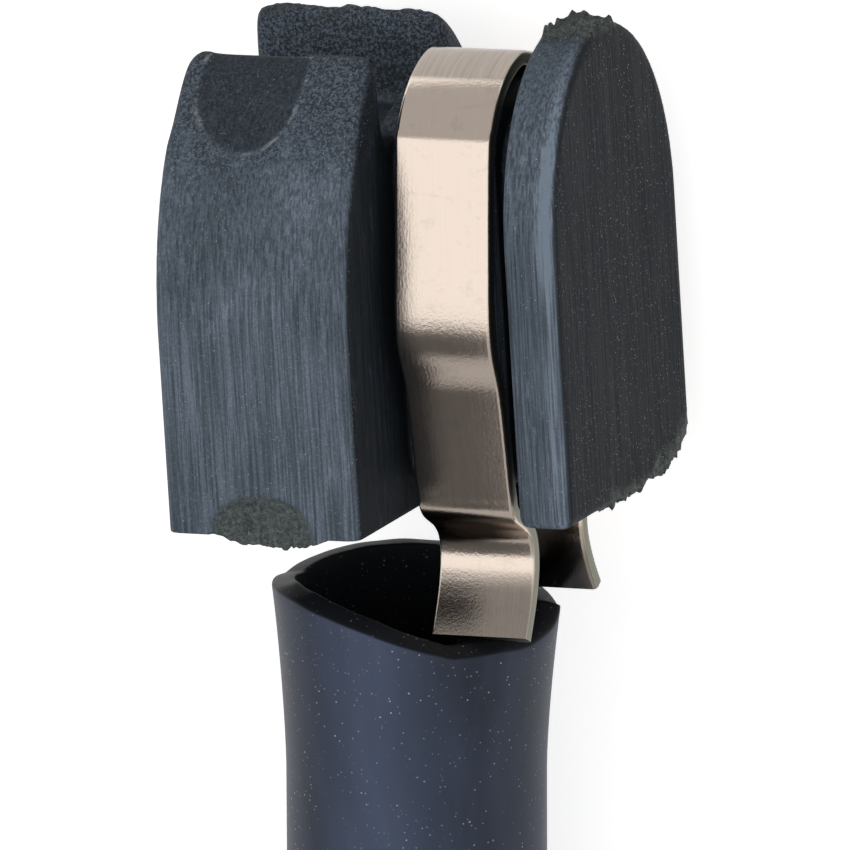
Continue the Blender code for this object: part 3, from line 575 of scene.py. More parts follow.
def dip_share(out):
    """1 under the rear foot of the clip, fading to 0 on either side of it."""
    away = abs(math.atan2(out.z, out.x) - DIP_ANGLE)
    return 1.0 - ease((away - DIP_HALF_ANGLE) / DIP_FADE_ANGLE)


def lip_shift(out):
    """How far the lip lies along the hose, in the direction out from the hose's middle."""
    angle = math.degrees(math.atan2(out.z, out.x))
    return float(np.interp(angle, *zip(*LIP_SHAPE))) * MM


def hose_profile():
    """How far along the hose and how deep in its wall each ring lies: up the inside, over the lip, back."""
    length = route_length(smooth_curve(HOSE_POINTS, HOSE_STEP))
    count = round(length / HOSE_STEP)
    lip = [(along * MM, wall * MM) for along, wall in LIP_SECTION]
    outside = [(length * index / count, 0.0) for index in range(1, count + 1)]
    inside = [(along, HOSE_WALL) for along, wall in reversed(outside)]
    return list(reversed(outside)) + lip + list(reversed(inside)), length


def hose_ring(made, stations, along, wall):
    """One ring, at a distance along the hose and a depth in its wall."""
    points, frames, ways, length = stations
    place = max(0.0, along) / length * (len(points) - 1)
    low = min(int(place), len(points) - 2)
    point = points[low].lerp(points[low + 1], place - low)
    side, other = frames[low]
    way = ways[low]
    flare = max(0.0, 1.0 - along / MOUTH_FLARE_LENGTH)
    fade = ease(1.0 - along / DIP_LENGTH)
    radius = HOSE_RADIUS + MOUTH_FLARE * min(1.0, flare) ** MOUTH_FLARE_POWER - wall
    ring = []
    for index in range(HOSE_SIDES):
        angle = 2 * math.pi * index / HOSE_SIDES
        out = radius * (side * math.cos(angle) + other * math.sin(angle))
        wave = noise.noise((out / MM) * LIP_WAVES_PER_MM + LIP_WAVE_SEED) * LIP_WAVE * fade
        shift = (DIP_DEPTH * dip_share(out) + lip_shift(out)) * fade + wave
        ring.append(made.verts.new(point + out + way * (shift + min(0.0, along))))
    return ring


def paint(mesh, name, values):
    """A number for each vertex, which the finish reads by its name."""
    layer = mesh.attributes.new(name, "FLOAT", "POINT")
    layer.data.foreach_set("value", np.asarray(values, dtype=np.float32))


def painted_sheen_share(vertices, points):
    """1 on the line down the hose where a highlight is painted, fading to 0 on either side of it."""
    route = np.array([(point.y, point.x) for point in reversed(points)])
    places = np.array([(vert.co.y, vert.co.x) for vert in vertices])
    across = (places[:, 1] - np.interp(places[:, 0], route[:, 0], route[:, 1])) / HOSE_RADIUS
    return np.exp(-(((across - SHEEN_SIDE) / SHEEN_WIDTH) ** 2))


def make_hose():
    points = smooth_curve(HOSE_POINTS, HOSE_STEP)
    profile, length = hose_profile()
    stations = (points, ring_frames(points), headings(points), length)
    made = bmesh.new()
    rings = [hose_ring(made, stations, along, wall) for along, wall in profile]
    for first, second in zip(rings, rings[1:] + rings[:1]):
        for index in range(HOSE_SIDES):
            after = (index + 1) % HOSE_SIDES
            made.faces.new((first[index], first[after], second[after], second[index]))
    hose = link_mesh("hose_skin", made, HOSE_FINISH)
    # 1 on the lip and the whole inside wall; on the inside wall the black is painted shade
    cut_and_inner_shade = [1.0 if wall > 0 else 0.0 for along, wall in profile]
    paint(hose.data, "cut_and_inner_shade", np.repeat(cut_and_inner_shade, HOSE_SIDES))
    # the painted highlight down the side of the hose that faces the light
    paint(hose.data, "sheen", painted_sheen_share(hose.data.vertices, points))
    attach(hose, "root")
    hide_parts("protective_hose")
    return hose, length


hose, hose_length = make_hose()
print("hose", round(hose_length / MM, 1), "mm long,", len(hose.data.polygons), "faces")

# %% [markdown]
# ## The cable
# The cable leaves the hose, runs into a two-layer coil and ends in the plug. The lower layer winds inwards
# and the upper one winds back out over it, each turn beside the last, so nothing passes through anything.
# One curve holds the whole route, and its bevel gives it thickness.

# %% Cable sizes and route
CABLE_RADIUS = 2.1 * MM
CABLE_START_POINTS = [
    (-2.62 * MM, -23.0 * MM, 4.12 * MM),
    (-3.40 * MM, -31.5 * MM, 3.58 * MM),
    (-4.12 * MM, -42.0 * MM, 3.36 * MM),
    (-4.70 * MM, -52.5 * MM, 3.30 * MM),
    (-5.05 * MM, -60.5 * MM, 3.22 * MM),
    (-5.25 * MM, -65.5 * MM, 2.78 * MM),
    (-5.42 * MM, -73.5 * MM, 2.18 * MM),
]
TAIL_POINTS = [
    (46.42 * MM, -73.7 * MM, 6.32 * MM),
    (46.4 * MM, -65.9 * MM, 6.10 * MM),
    (46.2 * MM, -61.5 * MM, 5.65 * MM),
    (46.0 * MM, -57.0 * MM, 5.20 * MM),
    (46.0 * MM, -49.3 * MM, 5.05 * MM),
]
COIL_CENTRE = Vector((20.5, -81.5, 0.0)) * MM
COIL_OUTER = 25.92 * MM
LOWER_TURNS = 1.75
CLIMB_TURNS = 0.2
UPPER_TURNS = 1.55
TURN_PITCH = 4.28 * MM
LOWER_HEIGHT = 2.14 * MM
UPPER_HEIGHT = 6.32 * MM
CABLE_STEP = 3.0 * MM
CABLE_BEVEL_STEPS = 6
COIL_STEPS_PER_TURN = 30


def coil_points():
    """The two layers of the coil, from where the cable meets it to where it leaves."""
    inner = COIL_OUTER - TURN_PITCH * LOWER_TURNS
    turns = LOWER_TURNS + CLIMB_TURNS + UPPER_TURNS
    count = round(turns * COIL_STEPS_PER_TURN)
    points = []
    for index in range(count + 1):
        turned = turns * index / count
        if turned < LOWER_TURNS:
            radius = COIL_OUTER - TURN_PITCH * turned
            height = LOWER_HEIGHT
        elif turned < LOWER_TURNS + CLIMB_TURNS:
            radius = inner
            rise = ease((turned - LOWER_TURNS) / CLIMB_TURNS)
            height = LOWER_HEIGHT + (UPPER_HEIGHT - LOWER_HEIGHT) * rise
        else:
            share = (turned - LOWER_TURNS - CLIMB_TURNS) / UPPER_TURNS
            radius = inner + (COIL_OUTER - inner) * share
            height = UPPER_HEIGHT
        angle = math.pi + 2 * math.pi * turned
        out = Vector((math.cos(angle), math.sin(angle), 0.0))
        points.append(COIL_CENTRE + radius * out + Vector((0.0, 0.0, height)))
    return points


def make_cable():
    points = smooth_curve(CABLE_START_POINTS + coil_points() + TAIL_POINTS, CABLE_STEP)
    curve = bpy.data.curves.new("cable_skin", "CURVE")
    curve.dimensions = "3D"
    curve.bevel_depth = CABLE_RADIUS
    curve.bevel_resolution = CABLE_BEVEL_STEPS
    curve.use_fill_caps = True
    spline = curve.splines.new("POLY")
    spline.points.add(len(points) - 1)
    for slot, point in zip(spline.points, points):
        slot.co = (*point, 1.0)
    curve.materials.append(JACKET_FINISH)
    cable = bpy.data.objects.new("cable_skin", curve)
    SCENE.collection.objects.link(cable)
    length = route_length(points)
    plug_pieces = ["plug_housing", "plug_terminal_left", "plug_terminal_right"]
    plug_pieces += ["plug_nose_seal", "cable_grommet", "plug_lock"]
    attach(cable, "root")
    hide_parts("cable", "cable_coil", "cable_tail")
    return cable, length


cable, cable_length = make_cable()
print("cable", round(cable_length / MM), "mm long")

# %% [markdown]
# ## Floor and light
# The object lies on a pale floor, in the even light of a white tent. The floor gives out a little of its own
# white, so that it stays white in the picture and still takes a soft shadow. The light comes from the world:
# a bright band that runs over the object from side to side, dimmer walls before and behind it, and one dark
# place to the lower left of the camera, because that is what the polished clip mirrors in the photograph.

# %% Floor
FLOOR_SIZE = 1.0
FLOOR_COLOUR = (0.8, 0.8, 0.8)
FLOOR_ROUGHNESS = 0.9
FLOOR_GLOW = 0.68


def make_floor():
    made = bmesh.new()
    bmesh.ops.create_grid(made, x_segments=1, y_segments=1, size=FLOOR_SIZE / 2)
    finish = bpy.data.materials.new("floor_finish")
    finish.use_nodes = True
    tree = finish.node_tree
    shader = tree.nodes["Principled BSDF"]
    shader.inputs["Base Color"].default_value = (*FLOOR_COLOUR, 1.0)
    shader.inputs["Roughness"].default_value = FLOOR_ROUGHNESS
    glow = tree.nodes.new("ShaderNodeEmission")
    glow.inputs["Strength"].default_value = FLOOR_GLOW
    both = tree.nodes.new("ShaderNodeAddShader")
    tree.links.new(shader.outputs[0], both.inputs[0])
    tree.links.new(glow.outputs[0], both.inputs[1])
    rays = tree.nodes.new("ShaderNodeLightPath")
    seen = math_node(tree, "MAXIMUM", rays.outputs["Is Camera Ray"], rays.outputs["Is Glossy Ray"])
    seen = math_node(tree, "MAXIMUM", seen, rays.outputs["Is Transmission Ray"])
    choice = tree.nodes.new("ShaderNodeMixShader")
    tree.links.new(seen, choice.inputs[0])
    tree.links.new(shader.outputs[0], choice.inputs[1])
    tree.links.new(both.outputs[0], choice.inputs[2])
    tree.links.new(choice.outputs[0], tree.nodes["Material Output"].inputs["Surface"])
    floor = link_mesh("floor", made, finish)
    return floor


floor = make_floor()
print("floor", [round(size, 2) for size in floor.dimensions], "m")

# %% World light
DARKEST = 0.04
WALL_LIGHT = 0.5
PANEL_LIGHT = 0.72
PANEL_EDGES = ((-0.24, -0.12), (0.24, 0.40))
SHADE_DIRECTION = Vector((-0.41, -0.42, 0.81)).normalized()
SHADE_ANGLES = (21, 13)
SHADE_DEPTH = 0.4


def facing(tree, direction):
    """How nearly a ray points in a direction, as the cosine of the angle between them."""
    where = tree.nodes.new("ShaderNodeTexCoord")
    dot = tree.nodes.new("ShaderNodeVectorMath")
    dot.operation = "DOT_PRODUCT"
    dot.inputs[1].default_value = direction
    tree.links.new(where.outputs["Generated"], dot.inputs[0])
    return dot.outputs["Value"]


def make_world():
    world = bpy.data.worlds.new("studio")
    world.use_nodes = True
    SCENE.world = world
    tree = world.node_tree
    along = facing(tree, Vector((0, 1, 0)))
    near, far = [soft_step(tree, along, *edges) for edges in PANEL_EDGES]
    panel = math_node(tree, "SUBTRACT", near, far)
    outer, inner = [math.cos(math.radians(angle)) for angle in SHADE_ANGLES]
    shade = soft_step(tree, facing(tree, SHADE_DIRECTION), outer, inner)
    light = math_node(tree, "MULTIPLY_ADD", panel, PANEL_LIGHT, WALL_LIGHT)
    dimmed = math_node(tree, "MULTIPLY_ADD", shade, -SHADE_DEPTH, light)
    background = tree.nodes["Background"]
    background.inputs["Color"].default_value = (1.0, 1.0, 1.0, 1.0)
    tree.links.new(math_node(tree, "MAXIMUM", dimmed, DARKEST), background.inputs["Strength"])


make_world()
SCENE.view_settings.view_transform = "Standard"
print("light", WALL_LIGHT, "on the walls,", round(WALL_LIGHT + PANEL_LIGHT, 2), "in the band")

# %% [markdown]
# ## The head
# The head is one moulding. Its solid has the right form but crisp, even surfaces. A copy is remeshed into
# small even faces, which rounds its edges slightly, and then each place is worked like clay: the arches are
# made truly round, and the torn places are roughened. Attributes tell the finish where each surface is.

# %% Head copy
HEAD_VOXEL = 0.115 * MM
MERGE_DISTANCE = 0.0005 * MM


def merged_copy(node, name, finish):
    """A copy of a node with its loose triangles joined."""
    mesh_data = bmesh.new()
    mesh_data.from_mesh(NODES[node].data)
    bmesh.ops.remove_doubles(mesh_data, verts=mesh_data.verts, dist=MERGE_DISTANCE)
    return link_mesh(name, mesh_data, finish)


def remeshed(item, voxel):
    """The item with even small faces all over."""
    step = item.modifiers.new("even_faces", "REMESH")
    step.mode = "VOXEL"
    step.voxel_size = voxel
    step.use_smooth_shade = True
    graph = bpy.context.evaluated_depsgraph_get()
    mesh = bpy.data.meshes.new_from_object(item.evaluated_get(graph))
    item.modifiers.clear()
    old = item.data
    item.data = mesh
    bpy.data.meshes.remove(old)
    return item


head = remeshed(merged_copy("sensor_body", "head_skin", HEAD_FINISH), HEAD_VOXEL)
print("head", len(head.data.polygons), "faces")

# %% Vertex helpers


def vertex_places(mesh):
    places = np.empty(len(mesh.vertices) * 3)
    mesh.vertices.foreach_get("co", places)
    return places.reshape(-1, 3)


def vertex_normals(mesh):
    normals = np.empty(len(mesh.vertices) * 3)
    mesh.vertex_normals.foreach_get("vector", normals)
    return normals.reshape(-1, 3)


def smooth_range(values, low, high):
    """0 below low, 1 above high, smooth between."""
    share = np.clip((values - low) / (high - low), 0.0, 1.0)
    return share * share * (3 - 2 * share)


def between(values, rise, fall):
    """0 at first, 1 after the rise and 0 again after the fall."""
    return smooth_range(values, *rise) * (1 - smooth_range(values, *fall))


def bell(values, middle, width):
    return np.exp(-(((values - middle) / width) ** 2))


def noise_at(places, scale, seed):
    """A noise value for each place, with scale waves in a millimetre."""
    shift = Vector((seed, 0.0, 0.0))
    return np.array([noise.noise(Vector(place) * (scale / MM) + shift) for place in places])


def smoothed(mesh, places, weight, rounds):
    """Moves each place towards the mean of its neighbours, by its weight, so edges there grow rounder."""
    edges = np.empty(len(mesh.edges) * 2, dtype=np.int32)
    mesh.edges.foreach_get("vertices", edges)
    one, other = edges.reshape(-1, 2).T
    count = len(places)
    neighbours = np.bincount(one, minlength=count) + np.bincount(other, minlength=count)
    for _ in range(rounds):
        for axis in range(3):
            near = np.bincount(one, places[other, axis], count)
            near += np.bincount(other, places[one, axis], count)
            places[:, axis] += weight * (near / neighbours - places[:, axis])


# %% [markdown]
# The lobe is the wide part with the friction face, and the plate is the thin arched part beyond the groove.
# Every vertex gets three measures: how far across the head it lies, how high above its foot, and how deep
# behind the lobe's middle. The solid's arches are cut in flat steps, so each vertex of them is first moved
# out to the true curve. Two noises, one coarse and one fine, then make the marks on the head uneven.

# %% Measure the head
HEAD_LOW, HEAD_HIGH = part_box("sensor_body")
FRICTION_FACE = HEAD_LOW.x
PLATE_FACE = HEAD_HIGH.x
HEAD_MIDDLE = 5.546 * MM
LOBE_HALF_DEPTH = 6.44 * MM
LOBE_WALL = FRICTION_FACE + 6.58 * MM
LOBE_BOTTOM = -0.23 * MM
LOBE_SHOULDER = 6.02 * MM
LOBE_TOP = 15.07 * MM
ARCH_STEPS = 10
ARCH_SKIN = (0.93, 0.98)
SLOT_FRONT = 2.53 * MM
SLOT_REAR = 1.9 * MM
SLOT_FLOOR = 11.77 * MM
PLATE_WALL = LOBE_WALL + 4.7 * MM
WALL_SLACK = 0.05 * MM
COARSE_WAVES_PER_MM = 1.6
FINE_WAVES_PER_MM = 4.5


def round_arches(depth, height):
    """The factor that moves the flat steps of the lobe's two arches out to the true curve."""
    out = depth / LOBE_HALF_DEPTH
    up = (height - LOBE_SHOULDER) / (LOBE_TOP - LOBE_SHOULDER)
    angle = np.arctan2(up, out)
    factor = np.ones(len(depth))
    rear = (0.0, math.acos(SLOT_REAR / LOBE_HALF_DEPTH))
    front = (math.pi - math.acos(SLOT_FRONT / LOBE_HALF_DEPTH), math.pi)
    for first, last in (rear, front):
        step = (last - first) / ARCH_STEPS
        from_middle = np.mod(angle - first, step) - step / 2
        grown = np.cos(from_middle) / math.cos(step / 2)
        factor = np.where((angle > first) & (angle < last), grown, factor)
    return 1 + (factor - 1) * smooth_range(np.hypot(up, out), *ARCH_SKIN)


class HeadSkin:
    """The head's vertices, and where each of them lies on the moulding."""

    def __init__(self, mesh):
        self.mesh = mesh
        self.places = vertex_places(mesh)
        self.normals = vertex_normals(mesh)
        self.across = self.places[:, 0]
        self.height = self.places[:, 1] + HEAD_MIDDLE
        self.depth = LOBE_HALF_DEPTH - self.places[:, 2]
        self.on_lobe = self.across < LOBE_WALL + WALL_SLACK
        self.on_plate = self.across > PLATE_WALL - WALL_SLACK
        self.lobe_front = self.on_lobe & (self.depth < 0)
        grown = np.where(self.on_lobe, round_arches(self.depth, self.height), 1.0) - 1
        self.places[:, 1] += grown * (self.height - LOBE_SHOULDER)
        self.places[:, 2] -= grown * self.depth
        self.coarse = noise_at(self.places, COARSE_WAVES_PER_MM, seed=3.0)
        self.fine = noise_at(self.places, FINE_WAVES_PER_MM, seed=11.0)


skin = HeadSkin(head.data)
print("head", len(skin.places), "vertices,", int(skin.on_lobe.sum()), "of them on the lobe")

# %% [markdown]
# Six marks are on the moulding. The pin mark is the round print of an ejector pin on the lobe's nose, with a
# thin rim of flash. The scar is where the gate broke off the lobe's lower edge. The corner is the torn lower
# rear corner of the plate, the stub is the broken gate on its nose, and the crest is the uneven top edge of
# the lobe's rear part. Each is a share from 0 to 1 at every vertex.

# %% Find the marks
PIN_CENTRE = (FRICTION_FACE + 2.6 * MM, 13.45 * MM)
PIN_RADIUS = 1.82 * MM
PIN_STEP = 0.12 * MM
RIM_WIDTH = 0.03 * MM
RIM_GAPS = (0.0, 0.35)
SCAR_MIDDLE = FRICTION_FACE + 3.3 * MM
SCAR_HALF_WIDTH = 1.85 * MM
SCAR_HEIGHT = 1.45 * MM
SCAR_EDGE = (0.86, 1.0)
SCAR_RAGGEDNESS = 0.12
TORN_FROM = 1.2 * MM
TORN_SLOPE = 0.33
TORN_WAVE = 0.25 * MM
TORN_DEPTHS = (-2.6 * MM, -1.2 * MM)
TORN_HEIGHTS = (0.2 * MM, 0.5 * MM)
STUB_HEIGHTS = (14.7 * MM, 14.95 * MM)
CREST_NEAR = (1.2 * MM, 1.7 * MM)
CREST_FAR = (2.3 * MM, 2.9 * MM)
CREST_HEIGHTS = (13.8 * MM, 14.4 * MM)


def from_pin(skin):
    return np.hypot(skin.across - PIN_CENTRE[0], skin.height - PIN_CENTRE[1])


def find_marks(skin):
    height, depth = skin.height, skin.depth
    rim = bell(from_pin(skin), PIN_RADIUS, RIM_WIDTH) * smooth_range(skin.coarse, *RIM_GAPS)
    pin = 1 - smooth_range(from_pin(skin), PIN_RADIUS - PIN_STEP, PIN_RADIUS)
    reach = np.hypot((skin.across - SCAR_MIDDLE) / SCAR_HALF_WIDTH, (height - LOBE_BOTTOM) / SCAR_HEIGHT)
    scar = 1 - smooth_range(reach + SCAR_RAGGEDNESS * skin.fine, *SCAR_EDGE)
    above_tear = height - TORN_SLOPE * np.maximum(0, depth - TORN_FROM) + TORN_WAVE * skin.coarse
    corner = smooth_range(depth, *TORN_DEPTHS) * (1 - smooth_range(above_tear, *TORN_HEIGHTS))
    crest = between(depth, CREST_NEAR, CREST_FAR) * smooth_range(height, *CREST_HEIGHTS)
    return {
        "pin": pin * skin.lobe_front,
        "rim": rim * skin.lobe_front,
        "scar": scar * skin.lobe_front,
        "corner": corner * skin.on_plate,
        "stub": smooth_range(height, *STUB_HEIGHTS) * skin.on_plate,
        "crest": crest * skin.on_lobe,
    }


marks = find_marks(skin)
print("marks", {name: int((share > 0.5).sum()) for name, share in marks.items()}, "vertices")

# %% [markdown]
# The faces that look forwards were rubbed pale and brushed, and where they turn up to the light they are
# painted paler still, as painted light. The plate's edge has a bright streak, a painted highlight. The nose
# and the slot keep the grain of the mould. The sides, which nothing rubbed, are nearly black, and that
# darkness is partly painted shade.

# %% Paint the wear and the painted light
SLOT_GRAIN_FADE = 0.6 * MM
GRAIN_WAVE = 1.2 * MM
GRAIN_HEIGHTS = (10.2 * MM, 12.9 * MM)
GRAIN_SHARES = {"nose": 0.85, "lobe": 0.12, "off the pin": 0.4}
FRONT_TURN = (0.2, 0.75)
GROOVE_TURN = (0.5, 0.9)
OUTER_TURN = (0.3, 0.7)
GROOVE_REACH = 0.8 * MM
# A painted highlight along the plate's rounded front edge, brightest partway up
EDGE_HIGHLIGHT_PLACE = PLATE_FACE - 0.24 * MM
EDGE_HIGHLIGHT_WIDTH = 0.22 * MM
EDGE_HIGHLIGHT_RISE = (6.5 * MM, 9.0 * MM)
EDGE_HIGHLIGHT_FALL = (11.0 * MM, 13.0 * MM)
EDGE_HIGHLIGHT_TONES = (0.5, 1.3)
SLOT_TOP = 12.6 * MM
LOBE_TONES = {"front": 0.82, "groove": 0.1}
PLATE_TONES = {"front": 0.7, "elsewhere": 0.03}
SIDE_TONE = 0.28
SLOT_TONE = 0.55
PIN_DARKNESS = 0.62
STUB_DARKNESS = 0.35
CREST_TORN = (0.0, 0.3)
CREST_SHARE = 0.5
FLASH_TONE = 0.8


def find_wear_and_light(skin, marks):
    height, depth, facing_x, facing_z = skin.height, skin.depth, skin.normals[:, 0], skin.normals[:, 2]
    crest = CREST_SHARE * marks["crest"] * smooth_range(skin.coarse, *CREST_TORN)
    torn = np.clip(marks["scar"] + marks["corner"] + marks["stub"] + crest, 0, 1)
    slot = smooth_range(height, SLOT_FLOOR, SLOT_FLOOR + SLOT_GRAIN_FADE)
    slot *= (depth > -SLOT_FRONT) * skin.on_lobe
    upper = smooth_range(height + GRAIN_WAVE * skin.coarse, *GRAIN_HEIGHTS) * skin.on_lobe
    grainy = np.maximum(GRAIN_SHARES["nose"] * upper, slot) + GRAIN_SHARES["lobe"] * skin.on_lobe
    grainy = np.clip(grainy, 0, 1) * (1 - GRAIN_SHARES["off the pin"] * marks["pin"])
    front = smooth_range(facing_z, *FRONT_TURN)
    # painted highlight: the plate's edge is painted paler where light catches it
    edge_highlight = bell(skin.across, EDGE_HIGHLIGHT_PLACE, EDGE_HIGHLIGHT_WIDTH) * front * skin.on_plate
    edge_highlight *= EDGE_HIGHLIGHT_TONES[0] + EDGE_HIGHLIGHT_TONES[1] * between(height, EDGE_HIGHLIGHT_RISE, EDGE_HIGHLIGHT_FALL)
    groove = smooth_range(facing_x, *GROOVE_TURN) * (skin.across > LOBE_WALL - GROOVE_REACH)
    lobe = LOBE_TONES["front"] * front + LOBE_TONES["groove"] * groove
    plate = PLATE_TONES["elsewhere"] + PLATE_TONES["front"] * front + edge_highlight
    sides = SIDE_TONE * (1 - front) * (1 - smooth_range(facing_x, *OUTER_TURN))
    # painted light and shade: the tone follows which way each face turns, as well as where it was rubbed
    rubbed_and_lit = np.where(skin.on_lobe, lobe, plate) + sides
    rubbed_and_lit = np.maximum(rubbed_and_lit, SLOT_TONE * slot * (height > SLOT_TOP) * (depth > 0))
    rubbed_and_lit *= (1 - PIN_DARKNESS * marks["pin"]) * (1 - STUB_DARKNESS * marks["stub"])
    return {"rubbed_and_lit": rubbed_and_lit, "grainy": grainy, "torn": torn, "flash": FLASH_TONE * marks["rim"]}


wear_and_light = find_wear_and_light(skin, marks)
for name, values in wear_and_light.items():
    paint(head.data, name, values)
print("wear_and_light", {name: round(float(values.mean()), 3) for name, values in wear_and_light.items()}, "on average")

# %% [markdown]
# Then the surface moves. The nose of the lobe is smoothed, which rounds its edges far more than the remesh
# did, and is raised a little to make up for it. The torn marks are pushed in and out by the two noises, and
# the scar stands a little proud, with a dome of plastic below the lobe's edge.

# %% Work the surface
NOSE_HEIGHTS = (11.6 * MM, 12.6 * MM)
NOSE_SOFTNESS = 0.6
NOSE_ROUNDS = 30
NOSE_RISE = 0.28 * MM
NOSE_RISE_HEIGHTS = (11.6 * MM, 14.2 * MM)
RIM_GUARD = 0.9
RIM_GUARD_WIDTH = 0.2 * MM
RIM_GUARD_FADE = (13.5 * MM, 14.0 * MM)
TORN_PUSH = 0.09 * MM
TORN_FINE_SHARE = 0.6
CORNER_STRINGS = 0.22 * MM
CREST_TEETH = 0.1 * MM
STUB_TEETH = 0.24 * MM
SCAR_RISE = 0.10 * MM
DOME_MIDDLE = SCAR_MIDDLE + 0.3 * MM
DOME_HALF_WIDTH = 1.95 * MM
DOME_HEIGHT = 0.7 * MM
DOME_DEPTHS = (-5.4 * MM, -3.6 * MM)
DOME_DROP = 0.4 * MM
DOME_WAVE = 0.14 * MM


def round_nose(skin):
    nose = smooth_range(skin.height, *NOSE_HEIGHTS) * skin.on_lobe
    guard = bell(from_pin(skin), PIN_RADIUS, RIM_GUARD_WIDTH) * skin.lobe_front
    guard *= RIM_GUARD * (1 - smooth_range(skin.height, *RIM_GUARD_FADE))
    smoothed(skin.mesh, skin.places, NOSE_SOFTNESS * nose * (1 - guard), NOSE_ROUNDS)
    skin.places[:, 1] += NOSE_RISE * smooth_range(skin.height, *NOSE_RISE_HEIGHTS) * skin.on_lobe


def teeth(skin, coarse, fine, least, shift=0.0):
    """The two noises added in these shares and shifted, kept between the least value and 1."""
    return np.clip(coarse * skin.coarse + fine * skin.fine + shift, least, 1.0)


def roughen(skin, marks):
    push = TORN_PUSH * (marks["scar"] + marks["corner"]) * (skin.coarse + TORN_FINE_SHARE * skin.fine)
    skin.places += skin.normals * push[:, None]
    up = -CORNER_STRINGS * marks["corner"] * teeth(skin, coarse=1.0, fine=1.2, least=0.0, shift=-0.05)
    up += CREST_TEETH * marks["crest"] * teeth(skin, coarse=1.0, fine=0.9, least=-0.3)
    up += STUB_TEETH * marks["stub"] * teeth(skin, coarse=1.4, fine=1.2, least=-0.4)
    skin.places[:, 1] += up
    skin.places[:, 2] += SCAR_RISE * marks["scar"]


def add_dome(skin):
    dome = np.clip(1 - ((skin.across - DOME_MIDDLE) / DOME_HALF_WIDTH) ** 2, 0, 1) * skin.lobe_front
    dome *= 1 - smooth_range(skin.height, LOBE_BOTTOM, LOBE_BOTTOM + DOME_HEIGHT)
    dome *= 1 - smooth_range(skin.depth, *DOME_DEPTHS)
    skin.places[:, 1] -= dome * (DOME_DROP + DOME_WAVE * skin.fine)


round_nose(skin)
roughen(skin, marks)
add_dome(skin)
head.data.vertices.foreach_set("co", skin.places.ravel())
head.data.update()
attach(head, "root")
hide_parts("sensor_body")
print("head", [round(size / MM, 2) for size in head.dimensions], "mm")

# %% [markdown]
# ## The spring clip
# The clip is one bright strip, rolled thin and bent over the web. The solid gives its two faces. Halfway
# between them runs the strip's middle line, and a small Geometry Nodes group sweeps a rectangle with round
# corners along that line, so the sheared edges catch the light as they do in the photograph. Below the crown
# the strip is almost straight, so the line skips the points there. Two numbers painted on the mesh tell the
# finish where a dark reflection is painted into the strip's colour and where its sheared edges are.

# %% Geometry Nodes helpers


def new_geometry_group(name, inputs):
    """An empty geometry group with its sockets, and its first and last nodes."""
    group = bpy.data.node_groups.new(name, "GeometryNodeTree")
    group.interface.new_socket(name="Geometry", in_out="INPUT", socket_type="NodeSocketGeometry")
    group.interface.new_socket(name="Geometry", in_out="OUTPUT", socket_type="NodeSocketGeometry")
    for label, kind in inputs.items():
        group.interface.new_socket(name=label, in_out="INPUT", socket_type=f"NodeSocket{kind}")
    return group, group.nodes.new("NodeGroupInput"), group.nodes.new("NodeGroupOutput")


def chain(group, *sockets):
    """Links sockets in pairs, from an output to an input."""
    for source, target in zip(sockets[::2], sockets[1::2]):
        group.links.new(source, target)


def grown_mesh(name, mesh, group, values):
    """A plain mesh object, made by running a geometry group once on a mesh."""
    item = bpy.data.objects.new(name, mesh)
    SCENE.collection.objects.link(item)
    step = item.modifiers.new("grow", "NODES")
    step.node_group = group
    for socket in group.interface.items_tree:
        if socket.in_out == "INPUT" and socket.name in values:
            step[socket.identifier] = values[socket.name]
    graph = bpy.context.evaluated_depsgraph_get()
    item.data = bpy.data.meshes.new_from_object(item.evaluated_get(graph))
    item.modifiers.clear()
    return item


# %% Strip group
CORNER_STEPS = 4


def make_strip_group():
    inputs = dict.fromkeys(["Width", "Thickness", "Edge radius", "Step"], "Float")
    inputs["Finish"] = "Material"
    group, start, end = new_geometry_group("bent_strip", inputs)
    given = start.outputs
    line = group.nodes.new("GeometryNodeMeshToCurve")
    spaced = group.nodes.new("GeometryNodeResampleCurve")
    spaced.mode = "LENGTH"
    upright = group.nodes.new("GeometryNodeSetCurveNormal")
    upright.mode = "FREE"
    upright.inputs["Normal"].default_value = (1.0, 0.0, 0.0)
    section = group.nodes.new("GeometryNodeCurvePrimitiveQuadrilateral")
    corners = group.nodes.new("GeometryNodeFilletCurve")
    corners.mode = "POLY"
    corners.inputs["Count"].default_value = CORNER_STEPS
    sweep = group.nodes.new("GeometryNodeCurveToMesh")
    sweep.inputs["Fill Caps"].default_value = True
    real = group.nodes.new("GeometryNodeRealizeInstances")
    dressed = group.nodes.new("GeometryNodeSetMaterial")
    chain(group, given["Geometry"], line.inputs[0], line.outputs[0], spaced.inputs["Curve"])
    chain(group, given["Step"], spaced.inputs["Length"], spaced.outputs[0], upright.inputs["Curve"])
    chain(group, given["Width"], section.inputs["Width"], given["Thickness"], section.inputs["Height"])
    chain(group, section.outputs[0], corners.inputs["Curve"], given["Edge radius"], corners.inputs["Radius"])
    chain(group, upright.outputs[0], sweep.inputs["Curve"], corners.outputs[0], sweep.inputs["Profile Curve"])
    chain(group, sweep.outputs[0], real.inputs[0])
    chain(group, real.outputs[0], dressed.inputs["Geometry"], given["Finish"], dressed.inputs["Material"])
    chain(group, dressed.outputs[0], end.inputs["Geometry"])
    return group


STRIP_GROUP = make_strip_group()
print("strip group:", len(STRIP_GROUP.nodes), "nodes")

